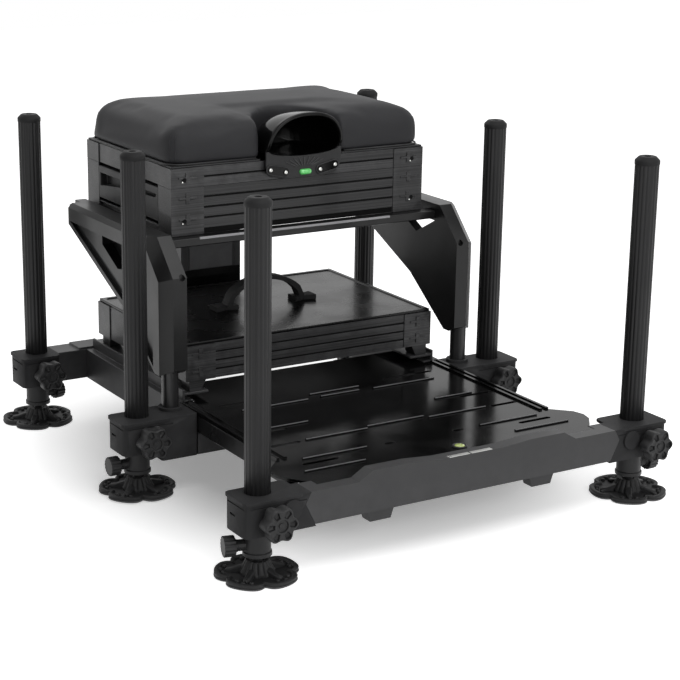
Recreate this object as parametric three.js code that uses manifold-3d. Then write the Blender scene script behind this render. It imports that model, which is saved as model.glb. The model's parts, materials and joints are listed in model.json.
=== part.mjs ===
// A fishing seat box. Six clamped legs carry a low frame. A footplate slides out at the front,
// a flat tray unit stands on ledges inside the frame, and two cast wings carry a raised deck
// with a side drawer, a shallow tray and a hinged seat with a pole socket.
// Millimetres, +Z up. The front faces -Y, and X = 0 is the plane of symmetry.

import * as THREE from "three";
import { ConvexGeometry } from "three/addons/geometries/ConvexGeometry.js";
import { mergeVertices } from "three/addons/utils/BufferGeometryUtils.js";
import Module from "manifold-3d";

const wasm = await Module();
wasm.setup();

// Clearances and cuts
const fitGap = 0.3;
const slideGap = 0.5;
const overrun = 2;
const weldDistance = 0.001;

// How finely round pieces are divided
const fineSides = 24;
const turnedSides = 16;
const smallSides = 12;
const cornerSteps = 2;

// The main sizes, which most of the others follow
const stackHalfWidth = 229;
const deckTopZ = 368.7;
const deckFrontY = 50;
const rearLegY = 388;
const frontLegY = -372;

// Where the legs stand
const legOutreach = 95;
const legReachX = stackHalfWidth + legOutreach;

// Legs
const legDiameter = 36;
const legTopZ = 520;
const fluteDepth = 0.9;
const fluteCount = 18;
const legSpigotRadius = 15.4;
const legCapHeight = 12;
const legCapLip = 0.6;
const legCapCrown = 6;
const legCapDimple = 5;
const legCapDimpleDepth = 2;

// Feet
const collarWall = 3;
const collarTopZ = 68;
const collarBottomZ = 31;
const collarFloor = 7;
const collarRimHeight = 5;
const collarRimStep = 1.6;
const neckRadius = 5;
const ballRadius = 9;
const ballZ = 19;
const ballGap = 0.6;
const screwBossRadius = 8;
const screwBossReach = 28;
const discRadius = 59;
const discNotchDepth = 16;
const discNotchPower = 2;
const discPetals = 5;
const stepsPerPetal = 5;
const discEdgeHeight = 5;
const discHeight = 9;
const discRimWidth = 8;
const hubTopZ = 24;
const hubTopRadius = 16;
const hubFootRadius = 24;

// Clamp knobs on the leg blocks
const knobZ = 93.5;
const knobRadius = 23;
const knobLobe = 2.4;
const knobLobes = 6;
const knobLength = 20;
const knobNeckLength = 11;
const knobNeckRadius = 14;
const knobDimple = 9;
const knobDimpleDepth = 3;
const knobStemRadius = 5;
const knobFlange = 4;

// Collar screws
const screwZ = 46;
const screwRadius = 14;
const screwLength = 16;
const screwRidge = 0.8;
const screwRidges = 16;
const screwStemRadius = 4;
const screwNeckLength = 3.5;
const screwNeckRadius = 9;

// Leg blocks
const blockReach = 38;
const blockFrontDepth = 37;
const blockRearDepth = 22;
const blockBottomZ = 70;
const blockTopZ = 120;
const blockCorner = 8;
const capPlateThickness = 4;
const capPlateLip = 1.6;
const shadowGrooveDepth = 1.2;
const shadowGrooveHeight = 2;
const sideSlotLength = 14;
const sideSlotHeight = 3;
const sideSlotDepth = 2;

// Middle castings and posts
const plateOverhang = 11;
const plateHalfWidth = stackHalfWidth + plateOverhang;
const castingInnerX = plateHalfWidth;
const castingMiddleInset = 24;
const castingMiddleX = legReachX - castingMiddleInset;
const castingRearY = 27;
const castingFootZ = 54;
const wingSideGap = 16;
const wingInnerX = stackHalfWidth + wingSideGap;
const postInset = 21;
const postX = wingInnerX + postInset;
const postY = 4;
const postDiameter = 26;
const postWall = 2.5;
const postSocketDepth = 44;
const postCollarWidth = 5;
const postCollarHeight = 5;
const postTopZ = 300;

// Low frame
const beamWall = 2.5;
const beamCorner = 1.5;
const sideRailWidth = 30.5;
const sideRailOuterX = wingInnerX;
const sideRailInnerX = sideRailOuterX - sideRailWidth;
const sideRailRidge = 5;
const runnerSideGap = 4;
const runnerOuterX = stackHalfWidth + runnerSideGap;
const runnerWidth = 4;
const runnerTopZ = 137.5;
const ledgeTopZ = 131.7;
const ledgeThickness = 3.7;
const ledgeReach = 45;
const ledgeInnerX = runnerOuterX - ledgeReach;
const rearBlockInset = 28;
const rearBlockInnerX = legReachX - rearBlockInset;
const rearBeamSetback = 26;
const rearBeamFrontY = rearLegY - rearBeamSetback;
const rearBeamWidth = 48;
const gussetInnerLip = 1.5;
const gussetOuterLip = 12;
const gussetInnerX = sideRailInnerX - gussetInnerLip;
const gussetOuterX = sideRailOuterX + gussetOuterLip;
const gussetThickness = 3;
const crossmemberTopZ = 88;
const guideWidth = 10;
const guideHeight = 20;

// Deck
const deckRailHeight = 13;
const deckRailDepth = 24;
const deckRearGap = 10;
const deckRearY = rearBeamFrontY - deckRearGap;
const columnHalfWidth = 58;
const columnDepth = 28;
const columnWall = 3;
const columnPanelHalfWidth = 46;
const columnPanelFootZ = 225;
const columnPanelHeight = 110;
const columnPanelRecess = 1.5;

// Wings
const wingWidth = 40;
const wingWebWidth = 34;
const wingFrontY = -14;
const wingFootZ = 183;
const wingTipZ = 175;
const wingTipY = 17;
const wingBendZ = 326;
const wingTopRise = 11.3;
const wingTopZ = deckTopZ + wingTopRise;
const wingTopY = 38;
const wingRearGap = 22;
const wingRearY = deckRearY - wingRearGap;
const wingRailDepth = 28;
const wingWebFootY = 120;
const wingWebFootZ = 251;
const wingWebLip = 9;
const wingWebRearZ = 346;
const wingBevelWidth = 17;
const wingBevelDepth = 15;
const wingRailBevel = 7;
const wingWindowFrontY = 51;
const wingWindowRearY = 160;
const wingWindowFootY = 104;
const wingWindowFootZ = 324;
const windowWallWidth = 16;
const pocketReach = 52;
const pocketDrop = 17;
const wingShroudDepth = 36;
const wingTongueWidth = 18;
const screwHoleRadius = 5;
const screwHoleDepth = 6;

// Trays of the upper stack
const stackSetback = 18;
const stackFrontY = deckFrontY + stackSetback;
const stackRearY = deckRearY + deckRailDepth;
const stackFootZ = deckTopZ + fitGap;
const plinthHeight = 9;
const plinthInset = 4;
const drawerCaseFloorZ = stackFootZ + plinthHeight;
const drawerCaseHeight = 65;
const drawerCaseTopZ = drawerCaseFloorZ + drawerCaseHeight;
const shallowTrayHeight = 30.7;
const shallowTrayTopZ = drawerCaseTopZ + shallowTrayHeight;
const trayWall = 2.5;
const trayFloor = 2.5;
const cornerProud = 1.5;
const cornerWidth = 56;
const cornerSideWidth = 45;
const grooveDepth = 1.5;
const grooveHeight = 3;
const clipWidth = 30;
const clipHeight = 16;
const clipBarHeight = 3;
const clipPostWidth = 7;
const clipProud = 1.6;

// Side drawer
const drawerLift = 8;
const drawerFootZ = drawerCaseFloorZ + drawerLift;
const drawerFrontThickness = 16;
const drawerWall = 2;
const drawerEndGap = 24;
const drawerInnerReach = stackHalfWidth - drawerEndGap;
const drawerTopGap = 5;
const drawerSideGap = 3;
const scoopDepth = 12;
const scoopTopRise = 41;
const scoopRearRise = 20;
const scoopMiddleRise = 29;
const scoopFrontRise = 35;
const scoopEndInset = 6;
const drawerRunnerWidth = 8;

// Seat
const seatBaseThickness = 2.6;
const seatBaseInset = 1.5;
const hingeRadius = 4.5;
const hingeOffset = 5;
const hingeKnuckleLength = 30;
const hingeX = 130;
const cushionEndInset = 4;
const cushionHalfWidth = stackHalfWidth;
const cushionFrontY = stackFrontY + cushionEndInset;
const cushionRearY = stackRearY - cushionEndInset;
const cushionHeight = 67.4;
const cushionCrown = 5;
const cushionSideRadius = 30;
const cushionFrontRadius = 22;
const cushionCorner = 26;
const cushionTuck = 1.2;
const notchHalfWidth = 73.5;
const notchDepth = 90;

// Pole socket in the seat's front
const mouthHalfWidth = 62;
const mouthWideRise = 14.3;
const mouthTopRise = 68.3;
const mouthFootRise = 4.3;
const mouthWideZ = shallowTrayTopZ + mouthWideRise;
const mouthTopZ = shallowTrayTopZ + mouthTopRise;
const mouthFootZ = shallowTrayTopZ + mouthFootRise;
const mouthProud = 2;
const mouthFootY = stackFrontY - mouthProud;
const hoodLean = 19;
const hoodWall = 6;
const hoodFootGap = 0.7;
const hoodFootZ = shallowTrayTopZ + hoodFootGap;
const hoodMiddleDepth = 34;
const hoodRearDepth = 66;
const hoodEndDepth = 86;
const hoodMiddleY = mouthFootY + hoodMiddleDepth;
const hoodRearY = mouthFootY + hoodRearDepth;
const hoodEndY = mouthFootY + hoodEndDepth;
const lipThickness = 5;
const lipFootDrop = 30.2;
const lipFootZ = shallowTrayTopZ - lipFootDrop;
const lipHalfWidth = 68;
const lipPodProud = 2.5;
const lipPodHalfLength = 20;
const lipPodHalfHeight = 6;
const lipPodX = 45;
const lipPodDrop = 18.7;
const lipPodZ = shallowTrayTopZ - lipPodDrop;
const lipPodSlopeDegrees = 12;

// Lower tray unit
const lowerSideInset = 2;
const lowerHalfWidth = stackHalfWidth - lowerSideInset;
const lowerFrontY = 28;
const lowerRearGap = 12;
const lowerRearY = rearBeamFrontY - lowerRearGap;
const lowerLift = 17;
const lowerHeight = 56;
const lowerTabFootZ = ledgeTopZ + fitGap;
const lowerFootZ = lowerTabFootZ + lowerLift;
const lowerTopZ = lowerFootZ + lowerHeight;
const lowerTabInset = 2;
const lowerTabInnerX = ledgeInnerX + lowerTabInset;
const lowerTabWidth = 30;
const lowerCornerWidth = 52;
const lidInset = 2;
const lidThickness = 2.8;
const lidRimHeight = 1.6;
const lidRimWidth = 7;
const handleHalfLength = 67;
const handleRise = 44;
const handleThickness = 7;
const handleWidth = 20;
const handleTabLength = 40;
const handleTabWidth = 26;
const handleTabWaist = 14;
const handleTabHeight = 8;

// Footplate
const plateRearY = 20;
const tongueSideGap = 2.5;
const tongueHalfWidth = sideRailInnerX - tongueSideGap;
const tongueRearY = 106;
const plateFootZ = 115.5;
const plateThickness = 4;
const plateFlareReach = 32;
const plateFlareBevel = 5;
const plateFlareStart = 95;
const plateFlareEnd = 68;
const plateFlareMiddle = 49;
const plateFlareStop = 30;
const plateFlareBackReach = 8;
const plateFlareBack = 5;
const plateRimWidth = 5;
const plateRimHeight = 3;
const plateRimPitch = 12;
const ribWidth = 3.5;
const ribHeight = 2.2;
const plateSlotWidth = 8;
const railSideGap = 5.5;
const railOuterX = sideRailOuterX - railSideGap;
const railWidth = 21;
const railFootZ = 88.5;
const railRearY = 230;
const railFrontGap = 71;

// Front beam
const frontBeamDepth = 38;
const frontBlockInset = 62;
const frontBlockInnerX = legReachX - frontBlockInset;
const seamDepth = 9;
const seamFootReach = 8;
const seamApexRise = 34;
const frontBeamFootZ = 73;
const beamTopDepth = 22;
const beamCrestRise = 13;
const beamMiddleRise = 9;
const beamCrestStart = 187;
const beamCrestFlat = 165;
const beamCrestEnd = 105;
const beamMiddleEnd = 55;
const beamLedgeDepth = 32;
const beamLedgeThickness = 4;
const beamClipX = 140;
const beamClipWidth = 50;
const beamClipTaper = 8;
const beamClipHeight = 22;
const beamClipFrontY = -392;
const beamClipDepth = 20;
const beamBossInset = 32;
const beamBossX = legReachX - beamBossInset;
const beamBossZ = 101;
const beamBossRadius = 14.2;
const beamBossProud = 4;

// Worked out from the values above
const legRadius = legDiameter / 2;
const legBoreRadius = legRadius + slideGap;
const legFootZ = collarBottomZ + collarFloor + fitGap;
const postRadius = postDiameter / 2;
const postBoreRadius = postRadius + fitGap;
const blockOuterX = legReachX + blockReach;
const beamHeight = blockTopZ - blockBottomZ;
const frontFaceY = frontLegY - blockFrontDepth;
const frontBeamRearY = frontFaceY + frontBeamDepth;
const seatBaseFootZ = shallowTrayTopZ + fitGap;
const seatBaseTopZ = seatBaseFootZ + seatBaseThickness;
const cushionFootZ = seatBaseTopZ + fitGap;

// Outlines and closed geometries
const alongX = new THREE.Vector3(1, 0, 0);
const alongY = new THREE.Vector3(0, 1, 0);
const alongZ = new THREE.Vector3(0, 0, 1);
const sideView = new THREE.Matrix4().makeBasis(alongY, alongZ, alongX);
const frontView = new THREE.Matrix4().makeBasis(alongX, alongZ, alongY.clone().negate());

function outline(points, holes = []) {
  const shape = new THREE.Shape(points.map(([a, b]) => new THREE.Vector2(a, b)));
  shape.holes = holes.map((hole) => new THREE.Path(hole.map(([a, b]) => new THREE.Vector2(a, b))));
  return shape;
}

function extruded(shape, depth) {
  return new THREE.ExtrudeGeometry(shape, { depth, bevelEnabled: false, curveSegments: 12 });
}

// An outline in Y and Z, run along X
function runX(shape, fromX, toX) {
  return extruded(shape, toX - fromX)
    .applyMatrix4(sideView)
    .translate(fromX, 0, 0);
}

// An outline in X and Z, run along Y
function runY(shape, fromY, toY) {
  return extruded(shape, toY - fromY)
    .applyMatrix4(frontView)
    .translate(0, toY, 0);
}

// An outline in X and Y, run up Z
function runZ(shape, fromZ, toZ) {
  return extruded(shape, toZ - fromZ).translate(0, 0, fromZ);
}

function box(fromX, toX, fromY, toY, fromZ, toZ) {
  return new THREE.BoxGeometry(toX - fromX, toY - fromY, toZ - fromZ).translate(
    (fromX + toX) / 2,
    (fromY + toY) / 2,
    (fromZ + toZ) / 2,
  );
}

// A profile of radius and height, listed upwards, turned about Z
function turned(profile, segments) {
  const points = profile.map(([radius, height]) => new THREE.Vector2(radius, height));
  return new THREE.LatheGeometry(points, segments).rotateX(Math.PI / 2);
}

function cylinderZ(radius, fromZ, toZ, segments = fineSides) {
  return turned(
    [
      [0, fromZ],
      [radius, fromZ],
      [radius, toZ],
      [0, toZ],
    ],
    segments,
  );
}

// A cylinder that stands on a plane of constant Y and points to the front
function cylinderForward(radius, length, segments = turnedSides) {
  return cylinderZ(radius, 0, length, segments).rotateX(Math.PI / 2);
}

// A cylinder that points to +X
function cylinderOutward(radius, length, segments = turnedSides) {
  return cylinderZ(radius, 0, length, segments).rotateY(Math.PI / 2);
}

function roundedRectangle(fromA, toA, fromB, toB, radius, steps = cornerSteps) {
  const points = [];
  const corners = [
    [toA - radius, toB - radius, 0],
    [fromA + radius, toB - radius, 1],
    [fromA + radius, fromB + radius, 2],
    [toA - radius, fromB + radius, 3],
  ];
  for (const [a, b, quarter] of corners) {
    for (let step = 0; step <= steps; step++) {
      const angle = ((quarter + step / steps) * Math.PI) / 2;
      points.push([a + radius * Math.cos(angle), b + radius * Math.sin(angle)]);
    }
  }
  return points;
}

// A round outline whose radius swells and falls a given number of times
function lobedOutline(radius, lobe, lobes, steps) {
  const points = [];
  for (let step = 0; step < steps; step++) {
    const angle = (2 * Math.PI * step) / steps;
    const reach = radius + lobe * Math.cos(lobes * angle);
    points.push([reach * Math.cos(angle), reach * Math.sin(angle)]);
  }
  return points;
}

// A closed skin through rings of equally many points, with a flat fan over each end
function lofted(rings) {
  const count = rings[0].length;
  const positions = rings.flat(2);
  const faces = [];
  for (let ring = 0; ring < rings.length - 1; ring++) {
    for (let at = 0; at < count; at++) {
      const next = (at + 1) % count;
      const low = ring * count;
      const high = low + count;
      faces.push(low + at, low + next, high + next, low + at, high + next, high + at);
    }
  }
  for (const [start, first] of [
    [0, true],
    [(rings.length - 1) * count, false],
  ]) {
    const ring = rings[start / count];
    const centre = positions.length / 3;
    for (const axis of [0, 1, 2]) {
      positions.push(ring.reduce((sum, point) => sum + point[axis], 0) / count);
    }
    for (let at = 0; at < count; at++) {
      const next = (at + 1) % count;
      faces.push(centre, start + (first ? next : at), start + (first ? at : next));
    }
  }
  const geometry = new THREE.BufferGeometry();
  geometry.setAttribute("position", new THREE.Float32BufferAttribute(positions, 3));
  geometry.setIndex(faces);
  return geometry;
}

// Joining and cutting
function toSolid(geometry) {
  const bare = geometry.clone();
  bare.deleteAttribute("normal");
  bare.deleteAttribute("uv");
  const merged = mergeVertices(bare, weldDistance);
  return new wasm.Manifold(
    new wasm.Mesh({
      numProp: 3,
      vertProperties: merged.attributes.position.array,
      triVerts: new Uint32Array(merged.index.array),
    }),
  );
}

function toGeometry(solid) {
  const { vertProperties, triVerts } = solid.getMesh();
  const geometry = new THREE.BufferGeometry();
  geometry.setAttribute("position", new THREE.BufferAttribute(vertProperties, 3));
  geometry.setIndex(new THREE.BufferAttribute(triVerts, 1));
  return geometry;
}

function joined(...geometries) {
  return toGeometry(geometries.map(toSolid).reduce((whole, piece) => whole.add(piece)));
}

function cut(geometry, ...tools) {
  const whole = toSolid(geometry);
  return toGeometry(tools.map(toSolid).reduce((left, tool) => left.subtract(tool), whole));
}

// Materials
function paint(color, roughness, metalness) {
  return new THREE.MeshStandardMaterial({ color, roughness, metalness });
}

const anodised = paint(0x2b2b2e, 0.42, 0.8);
const castMetal = paint(0x262628, 0.55, 0.5);
const beamMetal = paint(0x3a3a3d, 0.4, 0.7);
const profileMetal = paint(0x424247, 0.38, 0.8);
const moulded = paint(0x1f1f21, 0.5, 0);
const glossy = paint(0x0c0c0e, 0.18, 0);
const footRubber = paint(0x252527, 0.7, 0);
const vinyl = paint(0x3c3c40, 0.55, 0);
const webbing = paint(0x2a2a2c, 0.8, 0);

const seatBox = new THREE.Group();

function piece(name, geometry, material, parent = seatBox) {
  const mesh = new THREE.Mesh(geometry, material);
  mesh.name = name;
  parent.add(mesh);
  return mesh;
}

// The two mirrored sides hold pieces that are modelled on the +X side
const sides = [
  ["left", -1],
  ["right", 1],
].map(([name, sign]) => {
  const group = new THREE.Group();
  group.scale.x = sign;
  seatBox.add(group);
  return [name, group];
});

function bothSides(name, geometry, material) {
  for (const [side, group] of sides) {
    piece(`${name}_${side}`, geometry, material, group);
  }
}

// Legs and feet, each about its leg's axis
function legTube() {
  const section = [];
  const points = 2 * fluteCount;
  for (let at = 0; at < points; at++) {
    const angle = (2 * Math.PI * at) / points;
    const radius = legRadius - (at % 2) * fluteDepth;
    section.push([radius * Math.cos(angle), radius * Math.sin(angle)]);
  }
  const capFootZ = legTopZ - legCapHeight;
  const capRadius = legRadius + legCapLip;
  const cap = turned(
    [
      [0, capFootZ],
      [capRadius, capFootZ],
      [capRadius, legTopZ - legCapCrown],
      [capRadius - legCapCrown, legTopZ],
      [legCapDimple, legTopZ],
      [legCapDimple, legTopZ - legCapDimpleDepth],
      [0, legTopZ - legCapDimpleDepth],
    ],
    turnedSides,
  );
  const spigot = cylinderZ(legSpigotRadius, legFootZ, collarTopZ + 2 * overrun, turnedSides);
  return joined(runZ(outline(section), collarTopZ + fitGap, capFootZ + overrun), cap, spigot);
}

function footCollar() {
  const boreRadius = legSpigotRadius + slideGap;
  const radius = boreRadius + collarWall;
  const rimRadius = radius + collarRimStep;
  const profile = [];
  const neckAngle = Math.asin(neckRadius / ballRadius);
  const steps = 4;
  for (let step = 0; step <= steps; step++) {
    const angle = (Math.PI - neckAngle) * (step / steps);
    profile.push([ballRadius * Math.sin(angle), ballZ - ballRadius * Math.cos(angle)]);
  }
  profile.push(
    [neckRadius, collarBottomZ],
    [rimRadius, collarBottomZ],
    [rimRadius, collarBottomZ + collarRimHeight],
    [radius, collarBottomZ + collarRimHeight + collarRimStep],
    [radius, collarTopZ],
    [boreRadius, collarTopZ],
    [boreRadius, collarBottomZ + collarFloor],
    [0, collarBottomZ + collarFloor],
  );
  const bossStart = boreRadius + collarWall / 2;
  const boss = cylinderOutward(screwBossRadius, screwBossReach - bossStart, smallSides).translate(
    bossStart,
    0,
    screwZ,
  );
  const bore = cylinderOutward(screwStemRadius + fitGap, screwBossReach, smallSides).translate(
    legSpigotRadius / 2,
    0,
    screwZ,
  );
  return cut(joined(turned(profile, turnedSides), boss), bore);
}

// An outline of broad petals with a narrow notch between each two
function petalOutline(radius) {
  const points = [];
  const steps = discPetals * stepsPerPetal;
  for (let step = 0; step < steps; step++) {
    const angle = (2 * Math.PI * step) / steps;
    const notch = 1 - Math.abs(Math.cos((discPetals * angle) / 2));
    const reach = radius - discNotchDepth * notch ** discNotchPower;
    points.push([reach * Math.cos(angle), reach * Math.sin(angle)]);
  }
  return points;
}

function footDisc() {
  const rim = petalOutline(discRadius);
  const field = petalOutline(discRadius - discRimWidth);
  const recess = runZ(outline(field), discEdgeHeight, discHeight + overrun);
  const plate = cut(runZ(outline(rim), 0, discHeight), recess);
  const hub = turned(
    [
      [0, discEdgeHeight - overrun],
      [hubFootRadius, discEdgeHeight - overrun],
      [hubFootRadius, discHeight],
      [hubTopRadius, hubTopZ],
      [0, hubTopZ],
    ],
    turnedSides,
  );
  const socketRadius = ballRadius + ballGap;
  const openingRadius = Math.sqrt(socketRadius ** 2 - (hubTopZ - ballZ) ** 2);
  const socket = [];
  const openingAngle = Math.acos((hubTopZ - ballZ) / socketRadius);
  const socketSteps = 4;
  for (let step = 0; step <= socketSteps; step++) {
    const angle = (Math.PI - openingAngle) * (step / socketSteps);
    socket.push([socketRadius * Math.sin(angle), ballZ - socketRadius * Math.cos(angle)]);
  }
  socket.push([openingRadius, hubTopZ + overrun], [0, hubTopZ + overrun]);
  return cut(joined(plate, hub), turned(socket, smallSides));
}

// A lobed knob whose flange stands on the block's front face, with its stem reaching back to the leg
function clampKnob() {
  const stemLength = blockFrontDepth - legRadius - 2 * fitGap;
  const body = turned(
    [
      [0, -stemLength],
      [knobStemRadius, -stemLength],
      [knobStemRadius, 0],
      [knobNeckRadius + knobFlange / 2, 0],
      [knobNeckRadius, knobFlange],
      [knobNeckRadius, knobNeckLength + overrun],
      [0, knobNeckLength + overrun],
    ],
    turnedSides,
  ).rotateX(Math.PI / 2);
  const grip = outline(lobedOutline(knobRadius, knobLobe, knobLobes, 5 * knobLobes));
  const head = runY(grip, -knobNeckLength - knobLength, -knobNeckLength);
  const dimple = cylinderForward(knobDimple, knobDimpleDepth + overrun).translate(
    0,
    knobDimpleDepth - knobNeckLength - knobLength,
    0,
  );
  return cut(joined(body, head), dimple).translate(0, -fitGap, 0);
}

// A ridged screw that points outwards from the collar's boss
function collarScrew() {
  const stemStart = legSpigotRadius + fitGap;
  const neckStart = screwBossReach + fitGap;
  const headStart = neckStart + screwNeckLength;
  const body = turned(
    [
      [0, stemStart],
      [screwStemRadius, stemStart],
      [screwStemRadius, neckStart],
      [screwNeckRadius, neckStart],
      [screwNeckRadius, headStart + overrun],
      [0, headStart + overrun],
    ],
    smallSides,
  ).rotateY(Math.PI / 2);
  const ridged = outline(lobedOutline(screwRadius, screwRidge, screwRidges, 2 * screwRidges));
  return joined(body, runX(ridged, headStart, headStart + screwLength));
}

// A block on the +X side that clamps one leg, with its cap plate, shadow groove, bores and side slot
function legBlock(innerX, legY, body) {
  const frontY = legY - blockFrontDepth;
  const rearY = legY + blockRearDepth;
  const plateFootZ = blockTopZ - capPlateThickness;
  const cover = runZ(
    outline(
      roundedRectangle(
        innerX,
        blockOuterX + capPlateLip,
        frontY - capPlateLip,
        rearY + capPlateLip,
        blockCorner,
      ),
    ),
    plateFootZ,
    blockTopZ,
  );
  const grooveTopZ = plateFootZ - capPlateThickness;
  const groove = cut(
    box(innerX - overrun, blockOuterX + overrun, frontY - overrun, rearY + overrun,
      grooveTopZ - shadowGrooveHeight, grooveTopZ),
    box(innerX - 2 * overrun, blockOuterX - shadowGrooveDepth, frontY + shadowGrooveDepth,
      rearY - shadowGrooveDepth, grooveTopZ - 2 * shadowGrooveHeight, grooveTopZ + shadowGrooveHeight),
  );
  const legBore = cylinderZ(legBoreRadius, blockBottomZ - overrun, blockTopZ + overrun).translate(
    legReachX,
    legY,
    0,
  );
  const stemBore = cylinderForward(knobStemRadius + fitGap, blockFrontDepth + overrun, smallSides).translate(
    legReachX,
    legY,
    knobZ,
  );
  const sideSlot = box(
    blockOuterX - sideSlotDepth,
    blockOuterX + overrun,
    legY - sideSlotLength / 2,
    legY + sideSlotLength / 2,
    knobZ,
    knobZ + sideSlotHeight,
  );
  return cut(joined(body, cover), groove, legBore, stemBore, sideSlot);
}

function plainBlockBody(innerX, legY) {
  const plan = roundedRectangle(
    innerX,
    blockOuterX,
    legY - blockFrontDepth,
    legY + blockRearDepth,
    blockCorner,
  );
  return runZ(outline(plan), blockBottomZ, blockTopZ - capPlateThickness / 2);
}

// The middle casting's inner part is deeper and taller, and holds the foot of the post
function middleCasting() {
  const inner = runZ(
    outline(
      roundedRectangle(castingInnerX, castingMiddleX, -blockFrontDepth, castingRearY, blockCorner / 2),
    ),
    castingFootZ,
    blockTopZ,
  );
  const blockInnerX = castingMiddleX - 2 * blockCorner;
  const block = legBlock(blockInnerX, 0, joined(plainBlockBody(blockInnerX, 0), inner));
  const collarRadius = postBoreRadius + postCollarWidth;
  const collar = cylinderZ(collarRadius, blockTopZ - overrun, blockTopZ + postCollarHeight)
    .translate(postX, postY, 0);
  const socket = cylinderZ(postBoreRadius, blockTopZ - postSocketDepth, blockTopZ + 2 * postCollarHeight)
    .translate(postX, postY, 0);
  const legPath = cylinderZ(legBoreRadius, blockBottomZ - overrun, blockTopZ + 2 * postCollarHeight)
    .translate(legReachX, 0, 0);
  return cut(joined(block, collar), socket, legPath);
}

function rearBlock() {
  return legBlock(rearBlockInnerX, rearLegY, plainBlockBody(rearBlockInnerX, rearLegY));
}

// The front block meets the beam at an arrow-shaped seam and carries a round boss
function frontBlock() {
  const arrow = outline([
    [frontBlockInnerX - seamFootReach, blockBottomZ],
    [legReachX, blockBottomZ],
    [legReachX, blockTopZ],
    [frontBlockInnerX, blockTopZ],
    [frontBlockInnerX + seamDepth, blockBottomZ + seamApexRise],
  ]);
  const inner = runY(arrow, frontFaceY, frontBeamRearY);
  const body = joined(plainBlockBody(frontBlockInnerX + seamDepth + blockCorner, frontLegY), inner);
  const boss = cylinderForward(beamBossRadius, beamBossProud + overrun).translate(
    beamBossX,
    frontFaceY + overrun,
    beamBossZ,
  );
  return joined(legBlock(frontBlockInnerX + seamDepth, frontLegY, body), boss);
}

// A hollow rectangular extrusion's outline
function hollow(fromA, toA, fromB, toB, wall) {
  return outline(roundedRectangle(fromA, toA, fromB, toB, beamCorner, 2), [
    [
      [fromA + wall, fromB + wall],
      [toA - wall, fromB + wall],
      [toA - wall, toB - wall],
      [fromA + wall, toB - wall],
    ],
  ]);
}

// The side rail is one extrusion: a hollow beam that the footplate's rail slides in, with a lip on
// top and a ledge inside it for the lower tray unit
function sideRail() {
  const ledgeFootZ = ledgeTopZ - ledgeThickness;
  const innerWallX = sideRailInnerX + beamWall;
  const outerWallX = sideRailOuterX - beamWall;
  const ridgeX = (innerWallX + outerWallX) / 2;
  const section = outline(
    [
      [sideRailInnerX, blockBottomZ],
      [sideRailOuterX, blockBottomZ],
      [sideRailOuterX, blockTopZ],
      [runnerOuterX, blockTopZ],
      [runnerOuterX, runnerTopZ],
      [runnerOuterX - runnerWidth, runnerTopZ],
      [runnerOuterX - runnerWidth, ledgeTopZ],
      [ledgeInnerX, ledgeTopZ],
      [ledgeInnerX, ledgeFootZ],
      [runnerOuterX - runnerWidth, ledgeFootZ],
      [runnerOuterX - runnerWidth, blockTopZ],
      [sideRailInnerX, blockTopZ],
    ],
    [
      [
        [innerWallX, blockBottomZ + beamWall],
        [ridgeX - sideRailRidge, blockBottomZ + beamWall],
        [ridgeX - sideRailRidge, railFootZ - slideGap],
        [ridgeX + sideRailRidge, railFootZ - slideGap],
        [ridgeX + sideRailRidge, blockBottomZ + beamWall],
        [outerWallX, blockBottomZ + beamWall],
        [outerWallX, blockTopZ - beamWall],
        [innerWallX, blockTopZ - beamWall],
      ],
    ],
  );
  return runY(section, castingRearY + fitGap, rearBeamFrontY - fitGap);
}

function rearBeam() {
  const reach = rearBlockInnerX - fitGap;
  const rearY = rearBeamFrontY + rearBeamWidth;
  const section = hollow(rearBeamFrontY, rearY, blockBottomZ, blockTopZ, beamWall);
  const gussets = [-1, 1].map((side) =>
    box(
      side < 0 ? -gussetOuterX : gussetInnerX,
      side < 0 ? -gussetInnerX : gussetOuterX,
      rearBeamFrontY + gussetThickness,
      rearY - gussetThickness,
      blockTopZ - beamWall / 2,
      blockTopZ + gussetThickness,
    ),
  );
  return joined(runX(section, -reach, reach), ...gussets);
}

// The low crossmember joins the middle castings and guides the footplate's rails
function middleCrossmember() {
  const reach = castingInnerX - fitGap;
  const section = hollow(-blockFrontDepth, castingRearY, castingFootZ, crossmemberTopZ, beamWall);
  const guideOuterX = railOuterX - railWidth - slideGap;
  const guides = [-1, 1].map((side) =>
    box(
      Math.min(side * guideOuterX, side * (guideOuterX - guideWidth)),
      Math.max(side * guideOuterX, side * (guideOuterX - guideWidth)),
      -blockFrontDepth,
      castingRearY,
      crossmemberTopZ - beamWall / 2,
      crossmemberTopZ + guideHeight,
    ),
  );
  return joined(runX(section, -reach, reach), ...guides);
}

function post() {
  const inner = postRadius - postWall;
  const footZ = blockTopZ - postSocketDepth + fitGap;
  return turned(
    [
      [inner, footZ],
      [postRadius, footZ],
      [postRadius, postTopZ],
      [inner, postTopZ],
      [inner, footZ],
    ],
    turnedSides,
  ).translate(postX, postY, 0);
}

// A wedge that bevels the wing's outer face along an edge from one point of Y and Z to the next
function edgeBevel(from, to, width, depth) {
  const outerX = wingInnerX + wingWidth;
  const along = new THREE.Vector2(to[0] - from[0], to[1] - from[1]).normalize();
  const inward = new THREE.Vector2(along.y, -along.x);
  const reach = wingBevelWidth;
  const ends = [
    [from[0] - along.x * reach, from[1] - along.y * reach],
    [to[0] + along.x * reach, to[1] + along.y * reach],
  ];
  const corners = [];
  for (const [y, z] of ends) {
    for (const [across, within] of [
      [-2 * width, -depth],
      [width, 2 * depth],
      [2 * width, -2 * depth],
    ]) {
      corners.push(new THREE.Vector3(outerX + across, y + inward.x * within, z + inward.y * within));
    }
  }
  return new ConvexGeometry(corners);
}

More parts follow.
